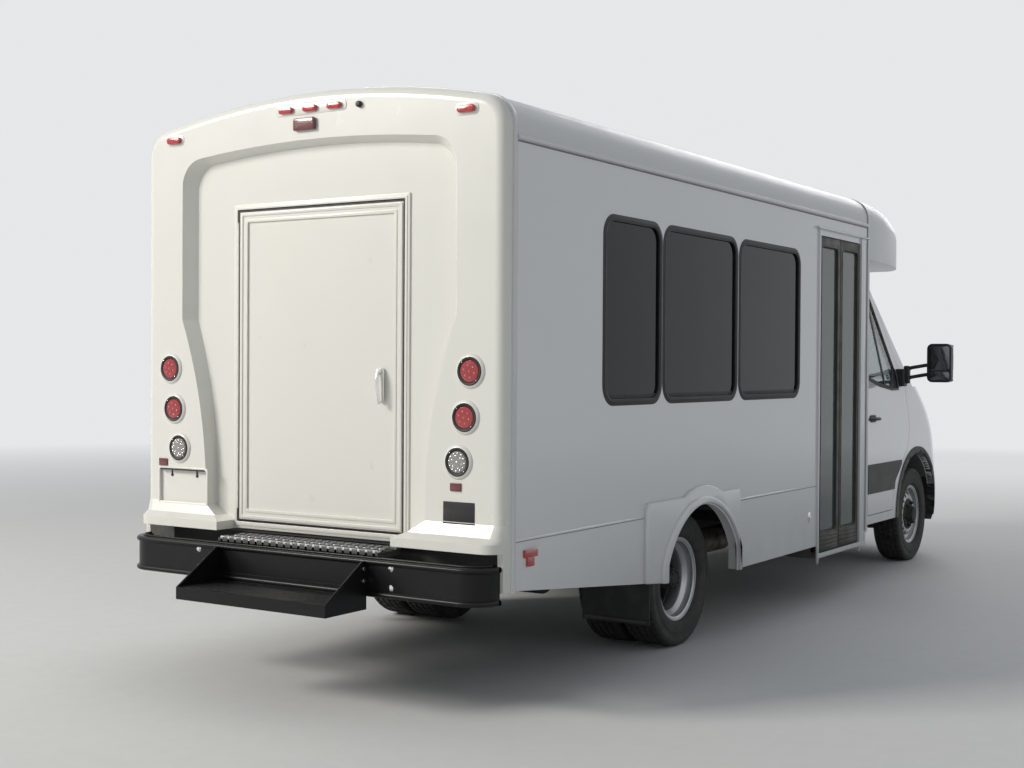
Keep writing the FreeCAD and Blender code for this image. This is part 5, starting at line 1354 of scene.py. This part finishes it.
def copyNode(name):
    # A merged copy of a CAD piece, to cut trims from.
    piece = copyPiece(nodes[name])
    piece.parent = None
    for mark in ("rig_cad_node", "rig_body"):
        if mark in piece:
            del piece[mark]
    startEdit(piece)
    bpy.ops.mesh.remove_doubles(threshold=0.00002)
    endEdit()
    return piece


def cutPatch(names, cutter, shift, grow=0.0):
    # What the named pieces have inside the cutter, moved out by shift.
    patches = []
    for name in names:
        piece = copyNode(name)
        addModifier(piece, "BOOLEAN", operation="INTERSECT", solver="EXACT", object=cutter)
        if len(piece.data.polygons):
            patches.append(piece)
        else:
            bpy.data.objects.remove(piece)
    bpy.data.objects.remove(cutter)
    patch = joinAll(patches)
    if grow:
        addModifier(patch, "DISPLACE", strength=grow, mid_level=0.0)
    patch.location = shift
    applyPlace(patch)
    return patch


def offsetOutline(points, amount):
    # Moves each side of a convex outline outwards by amount.
    count = len(points)
    area = sum(points[step][0] * points[(step + 1) % count][1] - points[(step + 1) % count][0]
               * points[step][1] for step in range(count))
    turn = 1 if area > 0 else -1
    moved = []
    for step in range(count):
        before, here, after = points[step - 1], points[step], points[(step + 1) % count]
        first = Vector((here[0] - before[0], here[1] - before[1])).normalized()
        second = Vector((after[0] - here[0], after[1] - here[1])).normalized()
        firstOut = Vector((first.y, -first.x)) * turn
        secondOut = Vector((second.y, -second.x)) * turn
        middle = (firstOut + secondOut).normalized()
        reach = amount / max(0.35, middle.dot(firstOut))
        moved.append((here[0] + middle.x * reach, here[1] + middle.y * reach))
    return moved


def softenOutline(points, radius, steps=5):
    # Rounds each corner of an outline with a short curve.
    soft = []
    count = len(points)
    for step in range(count):
        before, here, after = (Vector(points[step - 1]), Vector(points[step]),
                               Vector(points[(step + 1) % count]))
        near = min(radius, (here - before).length * 0.45, (after - here).length * 0.45)
        start = here + (before - here).normalized() * near
        end = here + (after - here).normalized() * near
        for share in [part / steps for part in range(steps + 1)]:
            point = start * (1 - share) ** 2 + here * 2 * share * (1 - share) + end * share ** 2
            soft.append((point.x, point.y))
    return soft


def skinPlace(name, origin, way):
    # Where a ray meets a CAD piece, and the way its face looks there.
    hit, place, normal = nodes[name].ray_cast(Vector(origin), Vector(way))[:3]
    return (place, normal) if hit else (Vector(origin), -Vector(way))


cab = {"window": ((1.746, 1.510), (2.086, 1.440), (2.356, 1.410), (2.496, 1.410), (2.496, 1.530),
                  (2.196, 2.110), (2.136, 2.130), (1.746, 2.130)), "screen": ((-0.890, 1.430), (0.890, 1.430),
                                                                              (0.730, 2.195),
                                                                              (-0.730, 2.195)),
       "wheelX": 2.881, "axleZ": 0.376, "arch": 0.505, "lipWide": 0.052, "lipOut": 0.007,
       "claddingLow": 0.625, "claddingHigh": 0.845, "rear": 1.352, "claddingFront": 2.470,
       "handleX": (1.735, 1.925), "handleZ": 1.185}


def sideCutter(outline, sideWay, near=0.60, far=1.40):
    return addPlate(outline, "Y", sideWay * near, sideWay * (far - near))


def sideRing(outer, inner, sideWay, near=0.60, far=1.40):
    return addFrame(outer, inner, "Y", sideWay * near, sideWay * (far - near))


def makeCladding(out, word):
    low, high = cab["claddingLow"], cab["claddingHigh"]
    shellPart = sideCutter([(cab["rear"], low), (1.655, low), (1.655, high), (cab["rear"], high)], out, 0.90)
    band = cutPatch(["cab_shell"], shellPart, (0, out * 0.005, 0))
    finishPiece(band, f"rearCladding_{word}", "claddingGrey", "body", 40)
    doorPart = sideCutter([(1.668, low), (cab["claddingFront"], low), (cab["claddingFront"], high),
                           (1.668, high)], out, 0.90)
    band = cutPatch([f"cab_door_{word}"], doorPart, (0, out * 0.005, 0))
    finishPiece(band, f"doorCladding_{word}", "claddingGrey", f"cab_door_{word}", 40)
    x, z, arch, wide = cab["wheelX"], cab["axleZ"], cab["arch"], cab["lipWide"]
    outer = [(x + (arch + wide) * math.cos(turn), z + (arch + wide) * math.sin(turn))
             for turn in [2 * math.pi * step / 72 for step in range(72)]]
    inner = [(x + (arch - 0.02) * math.cos(turn), z + (arch - 0.02) * math.sin(turn))
             for turn in [2 * math.pi * step / 72 for step in range(72)]]
    lip = cutPatch(["cab_shell", "front_bumper"], sideRing(outer, inner, out, 0.88),
                   (0, out * cab["lipOut"], 0))
    finishPiece(lip, f"archLip_{word}", "claddingGrey", "body", 40)


def makeDoorWindow(out, word):
    door = f"cab_door_{word}"
    outline = list(cab["window"])
    outer = softenOutline(offsetOutline(outline, 0.016), 0.05)
    inner = softenOutline(offsetOutline(outline, -0.017), 0.045)
    rubber = cutPatch([door, f"cab_glass_{word}"], sideRing(outer, inner, out), (0, out * 0.0035, 0))
    finishPiece(rubber, f"doorRubber_{word}", "gasketBlack", door, 40)
    bar = sideCutter([(2.205, 1.395), (2.232, 1.395), (2.168, 2.135), (2.141, 2.135)], out)
    corner = sideCutter([(2.335, 1.395), (2.512, 1.395), (2.512, 1.550), (2.470, 1.585), (2.400, 1.500)], out)
    bars = [cutPatch([f"cab_glass_{word}"], bar, (0, out * 0.005, 0)),
            cutPatch([f"cab_glass_{word}", door], corner, (0, out * 0.0055, 0))]
    finishPiece(bars, f"doorDivider_{word}", "trimBlack", door, 40)
    wiper = sideCutter([(1.750, 1.508), (2.086, 1.438), (2.340, 1.409), (2.340, 1.428), (2.086, 1.457),
                        (1.750, 1.527)], out)
    sweep = cutPatch([f"cab_glass_{word}"], wiper, (0, out * 0.007, 0))
    finishPiece(sweep, f"doorSweep_{word}", "gasketBlack", door, 40)


def makeDoorHandle(out, word):
    door = f"cab_door_{word}"
    rear, front = cab["handleX"]
    z = cab["handleZ"]
    y = skinPlace(door, ((rear + front) / 2, out * 2, z), (0, -out, 0))[0].y
    cup = addPlate(roundRectangle(rear + 0.012, front - 0.040, z - 0.032, z + 0.030, 0.028, 8), "Y",
                   y - out * 0.010, out * 0.0125)
    grip = addTube([(rear, y + out * 0.004, z), (rear + 0.018, y + out * 0.030, z + 0.001),
                    ((rear + front) / 2, y + out * 0.038, z + 0.002),
                    (front - 0.030, y + out * 0.033, z + 0.001), (front, y + out * 0.004, z)], 0.0125,
                   sides=6)
    addModifier(grip, "SUBSURF", levels=1, render_levels=1)
    lock = addTurned([(0.0, 0.013), (0.004, 0.0125), (0.005, 0.010), (0.005, 0.0002), (0.0, 0.0002)],
                     (front + 0.040, y - out * 0.001, z), 28, (0, out, 0))
    finishPiece([cup, grip], f"cabHandle_{word}", "trimBlack", door, 45)
    finishPiece(lock, f"cabLock_{word}", "chrome", door, 45)


mirror = {"x": (2.566, 2.666), "y": (1.175, 1.365), "z": (1.460, 1.765), "armRadius": 0.0145,
          "root": (2.596, 0.990), "arms": ((1.500, 1.520), (1.575, 1.595)),
          "foot": ((2.536, 0.930, 1.425), (2.626, 1.004, 1.565)),
          "knuckle": ((2.574, 0.985, 1.448), (2.622, 1.030, 1.590))}


def makeMirror(out, word):
    body = f"cab_door_{word}"
    rear, front = mirror["x"]
    near, far = mirror["y"]
    low, high = mirror["z"]
    left, right = sorted((near * out, far * out))
    shell = addPlate(roundRectangle(left, right, low, high, 0.042), "X", rear, front - rear)
    startEdit(shell, "DESELECT")
    endEdit()
    for face in shell.data.polygons:
        face.select = face.center.x > front - 0.001
    bpy.ops.object.mode_set(mode="EDIT")
    bpy.ops.mesh.inset(thickness=0.014, depth=0.0)
    bpy.ops.mesh.select_all(action="DESELECT")
    endEdit()
    for vertex in shell.data.vertices:
        if vertex.co.x > front - 0.001 and abs(abs(vertex.co.y) - (near + far) / 2) > (far -
                                                                                       near) / 2 - 0.006:
            vertex.co.x -= 0.040
        elif vertex.co.x > front - 0.001 and abs(vertex.co.z - (low + high) / 2) > (high - low) / 2 - 0.006:
            vertex.co.x -= 0.040
    softenEdges(shell, 0.010, 4, 35)
    inner = insetRectangle((left, right, low, high), 0.012, 0.032)
    cutWith(shell, addPlate(inner, "X", rear - 0.01, 0.022))
    arms = []
    rootX, rootY = mirror["root"]
    for start, end in mirror["arms"]:
        arms.append(addTube([(rootX, out * rootY, start - 0.02), (rootX + 0.004, out * (rootY + 0.055),
                                                                  start),
                             (rootX + 0.016, out * (near - 0.02), end),
                             (rootX + 0.018, out * (near + 0.02), end)], mirror["armRadius"], sides=6))
    foot = addSideBlock(out, *mirror["foot"], 0.012, 4)
    knuckle = addSideBlock(out, *mirror["knuckle"], 0.010, 3)
    piece = finishPiece([shell, foot, knuckle] + arms, f"mirror_housing_{word}", "trimBlack", body,
                        40)
    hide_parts(f"mirror_{word}")
    panes = []
    for start, end in ((low + 0.095, high - 0.015), (low + 0.015, low + 0.088)):
        outline = roundRectangle(left + 0.015, right - 0.015, start, end, 0.024)
        pane = addPlate(outline, "X", rear + 0.0068, 0.004)
        softenEdges(pane, 0.0012)
        panes.append(pane)
    finishPiece(panes, f"mirrorGlass_{word}", "mirrorSilver", body, 30)
    blinker = addSideBlock(out, (front - 0.052, far - 0.004, low + 0.10),
                           (front - 0.026, far - 0.0005, high - 0.09), 0.0012)
    finishPiece(blinker, f"mirrorBlinker_{word}", "amberLens", body)


def makeScreenTrim():
    outline = list(cab["screen"])
    outer = softenOutline(offsetOutline(outline, 0.012), 0.10)
    inner = softenOutline(offsetOutline(outline, -0.032), 0.085)
    ring = addFrame(outer, inner, "X", 2.28, 1.2)
    border = cutPatch(["windscreen"], ring, (0.0025, 0, 0.0012))
    finishPiece(border, "screenBorder", "gasketBlack", "body", 40)
    arms = []
    for pivotY, tipY in ((0.62, -0.02), (-0.08, -0.72)):
        points = []
        for share, up in ((0.0, 1.418), (0.12, 1.462), (0.5, 1.475), (1.0, 1.492)):
            y = pivotY + (tipY - pivotY) * share
            place, normal = skinPlace("windscreen", (4.4, y, max(up, 1.455)), (-1, 0, 0))
            points.append((place.x + normal.x * 0.016, y, up + 0.016 * (up > 1.43)))
        arms.append(addTube(points, 0.0062, sides=3))
        blade = []
        for share in range(9):
            y = tipY + 0.62 * (share / 8 - 0.02)
            place, normal = skinPlace("windscreen", (4.4, y, 1.485), (-1, 0, 0))
            blade.append(tuple(place + normal * 0.006))
        arms.append(addTube(blade, 0.0052, sides=3))
        place, normal = skinPlace("windscreen", (4.4, pivotY, 1.455), (-1, 0, 0))
        arms.append(addRod((place.x, pivotY, 1.400), (place.x + 0.012, pivotY, 1.436), 0.015, 20, 0.003))
    finishPiece(arms, "wipers", "trimBlack", "body", 45)


nose = {"slats": (0.758, 0.812, 0.866, 0.920, 0.974), "slatTall": 0.016, "intakeLow": 0.330,
        "intakeHigh": 0.520, "intakeHalf": 0.470, "fogY": 0.700, "fogZ": 0.455,
        "capLamps": (0.70, 0.16, 0.0, -0.16, -0.70)}


def makeNose():
    slats = []
    for up in nose["slats"]:
        reach = 0.480 + (up - 0.72) * 0.09
        outline = roundRectangle(-reach, reach, up, up + nose["slatTall"], 0.006, 3)
        slats.append(cutPatch(["grille"], addPlate(outline, "X", 3.3, 0.7), (0.014, 0, 0)))
    finishPiece(slats, "grilleSlats", "satinSilver", "body", 40)
    outer = softenOutline([(-0.500, 0.722), (0.500, 0.722), (0.530, 1.028), (-0.530, 1.028)], 0.03)
    inner = softenOutline([(-0.476, 0.742), (0.476, 0.742), (0.504, 1.006), (-0.504, 1.006)], 0.03)
    surround = cutPatch(["grille"], addFrame(outer, inner, "X", 3.3, 0.7), (0.008, 0, 0))
    finishPiece(surround, "grilleSurround", "gasketBlack", "body", 40)
    half, low, high = nose["intakeHalf"], nose["intakeLow"], nose["intakeHigh"]
    bumperShell = copyNode("front_bumper")
    plate = roundRectangle(-0.160, 0.160, 0.545, 0.625, 0.006, 3)
    for outline in (roundRectangle(-half, half, low, high, 0.04, 6), plate):
        cutWith(bumperShell, addPlate(outline, "X", 3.3, 0.7))
    finishPiece(bumperShell, "bumperCover", "claddingGrey", "body", 40)
    mesh = cutPatch(["front_bumper"], addPlate(roundRectangle(-half, half, low, high, 0.04, 6), "X", 3.3,
                                               0.7), (-0.022, 0, 0))
    finishPiece(mesh, "bumperIntake", "intakeMesh", "body", 40)
    bars = []
    for up in (low + 0.058, low + 0.125):
        bars.append(cutPatch(["front_bumper"], addPlate(roundRectangle(-half, half, up, up + 0.010, 0.004, 2),
                                                        "X", 3.3, 0.7), (-0.006, 0, 0)))
    finishPiece(bars, "intakeBars", "trimBlack", "body", 40)
    blank = cutPatch(["front_bumper"], addPlate(plate, "X", 3.3, 0.7), (-0.004, 0, 0))
    finishPiece(blank, "frontPlatePad", "trimBlack", "body", 40)
    lenses, bezels, bowls = [], [], []
    for out in (1, -1):
        y, z = nose["fogY"] * out, nose["fogZ"]
        place, normal = skinPlace("front_bumper", (5.0, y, z), (-1, 0, 0))
        bezels.append(addTurned([(-0.010, 0.066), (0.006, 0.066), (0.009, 0.060), (0.004, 0.052),
                                 (-0.010, 0.050)], place, 48, normal))
        lenses.append(addTurned([(-0.006, 0.0515), (0.002, 0.0515), (0.006, 0.034), (0.0075, 0.0002),
                                 (-0.006, 0.0002)], place, 48, normal))
    finishPiece(bezels, "fogBezels", "gasketBlack", "body", 40)
    finishPiece(lenses, "fogLamps", "clearLens", "body", 40)
    shields = []
    for out in (1, -1):
        outline = [(0.542 * out, 0.884), (0.896 * out, 0.933), (0.920 * out, 1.086), (0.622 * out, 1.037)]
        cover = softenOutline(outline, 0.03)
        shields.append(cutPatch(["headlamps"], addPlate(cover, "X", 2.9, 1.1), (0.0045, 0, 0)))
        ring = addFrame(softenOutline(outline, 0.03), softenOutline(offsetOutline(outline, -0.016), 0.02),
                        "X", 2.9, 1.1)
        bowls.append(cutPatch(["headlamps"], ring, (0.0070, 0, 0)))
    finishPiece(shields, "headlampCovers", "lampCover", "body", 40)
    finishPiece(bowls, "headlampSurrounds", "gasketBlack", "body", 40)
    cowl = cutPatch(["cab_shell"], addPlate([(3.060, -0.86), (3.200, -0.735), (3.200, 0.735), (3.060, 0.86)],
                                            "Z", 1.36, 0.10), (0, 0, 0.0025))
    finishPiece(cowl, "cowlPanel", "trimBlack", "body", 40)
    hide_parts("front_bumper")


def makeCapLamps():
    lenses, feet = [], []
    for y in nose["capLamps"]:
        up = 2.640 if abs(y) < 0.5 else 2.600
        place, normal = skinPlace("front_cap", (4.4, y, up), (-1, 0, 0))
        feet.append(addTurned([(-0.004, 0.046), (0.004, 0.044), (0.006, 0.038), (0.006, 0.0002),
                               (-0.004, 0.0002)], place, 40, normal))
        lenses.append(addTurned([(0.004, 0.036), (0.014, 0.034), (0.022, 0.026), (0.026, 0.012),
                                 (0.0265, 0.0002), (0.004, 0.0002)], place, 40, normal))
    finishPiece(lenses, "capLamps", "amberLens", "body", 50)
    finishPiece(feet, "capLampFeet", "gasketBlack", "body", 40)


for out, word in ((1, "left"), (-1, "right")):
    makeCladding(out, word)
    makeDoorWindow(out, word)
    makeDoorHandle(out, word)
    makeMirror(out, word)
makeScreenTrim()
makeNose()
makeCapLamps()
print("cab dressed")


# Seats: padded cushions and backs blown up as cloth, with piping, on plain frames

seat = {"floor": 0.775, "firstX": -2.924, "pitch": 0.760, "rows": 4, "places": (0.8285, 0.3805),
        "half": 0.212, "depth": 0.440, "cushionLow": 0.330, "cushionTop": 0.420, "backFoot": 0.405,
        "backTall": 0.660, "lean": 10.2, "backThick": 0.062, "voxel": 0.013, "pressure": 4.0, "cap": 0.011,
        "cabX": 1.616, "cabY": 0.470, "cabFloor": 0.700, "cabWide": 1.09}


def blowUp(pad, cap):
    # Swells a closed pad as cloth under pressure, with a limit on how far a point may go.
    addModifier(pad, "REMESH", mode="VOXEL", voxel_size=seat["voxel"])
    addModifier(pad, "SMOOTH", factor=0.6, iterations=3)
    start = [vertex.co.copy() for vertex in pad.data.vertices]
    cloth = pad.modifiers.new("Cloth", "CLOTH")
    cloth.settings.use_pressure = True
    cloth.settings.uniform_pressure_force = seat["pressure"]
    cloth.settings.effector_weights.gravity = 0
    cloth.settings.quality = 4
    cloth.point_cache.frame_start = 1
    cloth.point_cache.frame_end = 20
    for step in range(1, 21):
        bpy.context.scene.frame_set(step)
    pick(pad)
    bpy.ops.object.modifier_apply(modifier=cloth.name)
    for vertex, rest in zip(pad.data.vertices, start):
        move = vertex.co - rest
        if move.length > cap:
            vertex.co = rest + move * (cap / move.length)
    bpy.context.scene.frame_set(1)
    return pad


def addCushion():
    # One cushion for a seat whose back corner stands at the origin, with a rounded nose.
    low, high, depth, half = seat["cushionLow"], seat["cushionTop"], seat["depth"], seat["half"]
    side = [(0.020, low), (depth - 0.012, low), (depth + 0.012, low + 0.045), (depth + 0.004, high - 0.020),
            (depth - 0.030, high - 0.002), (0.20, high - 0.014), (0.045, high - 0.010), (0.012, high - 0.035)]
    pad = addPlate(softenOutline(side, 0.018, 4), "Y", -half + 0.006, half * 2 - 0.012)
    softenEdges(pad, 0.014, 3, 60)
    return blowUp(pad, seat["cap"])


def backOutline(inset):
    half, tall = seat["half"] - 0.006 - inset, seat["backTall"] - inset
    points = [(-half + 0.012, inset), (half - 0.012, inset), (half, 0.16), (half - 0.002, 0.40),
              (half - 0.030, 0.52), (0.130 - inset, 0.575), (0.118 - inset, tall), (inset - 0.118, tall),
              (inset - 0.130, 0.575), (0.030 - half, 0.52), (0.002 - half, 0.40), (-half, 0.16)]
    return softenOutline(points, 0.045, 5)


def leanBack(piece):
    piece.rotation_euler = (0, -math.radians(seat["lean"]), 0)
    piece.location = (0.052, 0, seat["backFoot"])
    applyPlace(piece)
    return piece


def addBack():
    thick = seat["backThick"]
    pad = addPlate(backOutline(0.006), "X", -thick / 2, thick)
    softenEdges(pad, 0.015, 3, 60)
    return leanBack(blowUp(pad, seat["cap"] * 0.8))


def surfaceRun(pad, origins, way, lift):
    # A line laid on a pad, found by rays.
    points = []
    for origin in origins:
        hit, place, normal = pad.ray_cast(Vector(origin), Vector(way))[:3]
        if hit:
            points.append(tuple(place + normal * lift))
    return points


def addPiping(cushion, back):
    # Sewn welts: round each cushion's top panel, and down and across each back.
    half, depth = seat["half"], seat["depth"]
    runs = []
    for y in (-half * 0.62, half * 0.62):
        runs.append(surfaceRun(cushion, [(0.05 + (depth - 0.045) * step / 14, y, 1.0) for step in range(15)],
                               (0, 0, -1), 0.0004))
    for x in (0.12, 0.27):
        runs.append(surfaceRun(cushion, [(x, -half * 0.62 + half * 1.24 * step / 12, 1.0)
                                         for step in range(13)], (0, 0, -1), 0.0004))
    for y in (-half * 0.60, half * 0.60):
        runs.append(surfaceRun(back, [(0.5, y, seat["backFoot"] + 0.04 + 0.43 * step / 14)
                                      for step in range(15)], (-1, 0, 0), 0.0004))
    for up in (0.16, 0.32, 0.47):
        runs.append(surfaceRun(back, [(0.5, -half * 0.60 + half * 1.20 * step / 12, seat["backFoot"] + up)
                                      for step in range(13)], (-1, 0, 0), 0.0004))
    beads = [addTube(run, 0.0022, sides=1) for run in runs if len(run) > 2]
    return joinAll(beads)


def addSeatFrame():
    # Pan, back shell, T-shaped legs, back struts and a crossbar for one seat.
    half, depth = seat["half"], seat["depth"]
    pieces = [addBlock((0.035, -half + 0.02, seat["cushionLow"] - 0.018),
                       (depth - 0.015, half - 0.02, seat["cushionLow"] + 0.004), 0.006)]
    shell = addPlate(backOutline(0.012), "X", -seat["backThick"] / 2 - 0.010, 0.014)
    softenEdges(shell, 0.004, 2, 60)
    pieces.append(leanBack(shell))
    for y in (-half + 0.075, half - 0.075):
        pieces.append(addBlock((0.085, y - 0.014, 0.0), (0.360, y + 0.014, 0.012), 0.003))
        for x in (0.12, 0.30):
            pieces.append(addTube([(x, y, 0.008), (x, y, 0.16), (x + 0.010, y, seat["cushionLow"] - 0.012)],
                                  0.0135, sides=3))
        pieces.append(addTube([(0.10, y, seat["cushionLow"] - 0.02), (0.045, y, seat["backFoot"] - 0.02),
                               (0.018, y, seat["backFoot"] + 0.14)], 0.010, sides=3))
    pieces.append(addTube([(0.12, -half + 0.075, 0.15), (0.12, half - 0.075, 0.15)], 0.010, sides=3))
    return joinAll(pieces)


def placeCopies(source, spots, scale=1.0):
    copies = []
    for x, y, z in spots:
        piece = copyPiece(source)
        piece.scale = (1, scale, 1)
        piece.location = (x, y, z)
        applyPlace(piece)
        copies.append(piece)
    return joinAll(copies)


def makeSeats():
    cushion, back = addCushion(), addBack()
    piping, frameParts = addPiping(cushion, back), addSeatFrame()
    rows = []
    for row in range(seat["rows"]):
        x = seat["firstX"] + seat["pitch"] * row
        for out, word in ((1, "left"), (-1, "right")):
            rows.append((f"{word}_{row + 1}", [(x, out * y, seat["floor"]) for y in seat["places"]]))
    everyPlace = [spot for name, spots in rows for spot in spots]
    first = True
    for name, spots in rows:
        for kind, source in (("cushions", cushion), ("backs", back)):
            pads = finishPiece(placeCopies(source, spots), f"{kind}_{name}", "seatCloth", "body",
                               60)
            if first:
                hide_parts("seats")
                first = False
    finishPiece(placeCopies(piping, everyPlace), "seatPiping", "pipingGrey", "body", 60)
    finishPiece(placeCopies(frameParts, everyPlace), "seatFrames", "seatSteel", "body", 40)
    cabSpots = [(seat["cabX"], out * seat["cabY"], seat["cabFloor"]) for out in (1, -1)]
    for kind, source in (("cabCushions", cushion), ("cabBacks", back)):
        pads = finishPiece(placeCopies(source, cabSpots, seat["cabWide"]), kind, "cabCloth", "body",
                           60)
        if kind == "cabCushions":
            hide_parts("cab_seats")
    finishPiece(placeCopies(piping, cabSpots, seat["cabWide"]), "cabSeatPiping", "pipingGrey", "body",
                60)
    finishPiece(placeCopies(frameParts, cabSpots, seat["cabWide"]), "cabSeatFrames", "seatSteel", "body",
                40)
    for piece in (cushion, back, piping, frameParts):
        bpy.data.objects.remove(piece)


makeSeats()
print("seats made")


# Saloon and cab fittings

saloon = {"railZ": 2.40, "railY": 0.300, "rear": -3.05, "front": 1.10, "radius": 0.0155, "poleX": 1.225,
          "poleY": -0.560, "wheelHub": (2.331, 0.470, 1.150), "wheelRadius": 0.190,
          "wheelWay": (-0.853, 0.0, 0.522)}


def makeGrabRails():
    pieces = []
    z, rear, front = saloon["railZ"], saloon["rear"], saloon["front"]
    for out in (1, -1):
        y = saloon["railY"] * out
        pieces.append(addTube([(rear, y, z + 0.20), (rear + 0.03, y, z + 0.03), (rear + 0.08, y, z),
                               (front - 0.08, y, z), (front - 0.03, y, z + 0.03), (front, y, z + 0.20)],
                              saloon["radius"], sides=5))
        for step in range(1, 5):
            x = rear + (front - rear) * step / 5
            pieces.append(addTube([(x, y, z), (x, y, z + 0.43)], 0.010, sides=4))
            pieces.append(addTurned([(0.0, 0.030), (0.006, 0.028), (0.010, 0.016), (0.010, 0.0002),
                                     (0.0, 0.0002)], (x, y, z + 0.432), 24, (0, 0, -1)))
    x, y = saloon["poleX"], saloon["poleY"]
    pieces.append(addTube([(x, y, 0.776), (x, y, 2.76)], saloon["radius"], sides=5))
    pieces.append(addTurned([(0.0, 0.042), (0.008, 0.040), (0.014, 0.018), (0.014, 0.0002), (0.0, 0.0002)],
                            (x, y, 0.776), 32, (0, 0, 1)))
    finishPiece(pieces, "grabRails", "chrome", "body", 60)


def makeDashDetails():
    hub, way = Vector(saloon["wheelHub"]), Vector(saloon["wheelWay"]).normalized()
    across = Vector((0, 1, 0))
    up = way.cross(across)
    pieces = []
    for turn in (20, 160, 270):
        angle = math.radians(turn)
        ray = across * math.cos(angle) + up * math.sin(angle)
        pieces.append(addTube([tuple(hub + way * 0.004), tuple(hub + ray * 0.10 + way * 0.002),
                               tuple(hub + ray * (saloon["wheelRadius"] - 0.004))], 0.0135, sides=4))
    pad = addTurned([(-0.020, 0.064), (0.010, 0.064), (0.022, 0.050), (0.026, 0.020), (0.026, 0.0002),
                     (-0.020, 0.0002)], hub, 40, way)
    grip = addTurned([(-0.0165, 0.190), (-0.0117, 0.2017), (0.0, 0.2065), (0.0117, 0.2017), (0.0165, 0.190),
                      (0.0117, 0.1783), (0.0, 0.1735), (-0.0117, 0.1783)], hub, 72, way)
    finishPiece(pieces + [pad, grip], "steeringWheel", "trimBlack", "body", 60)


makeGrabRails()
makeDashDetails()
print("inside dressed")
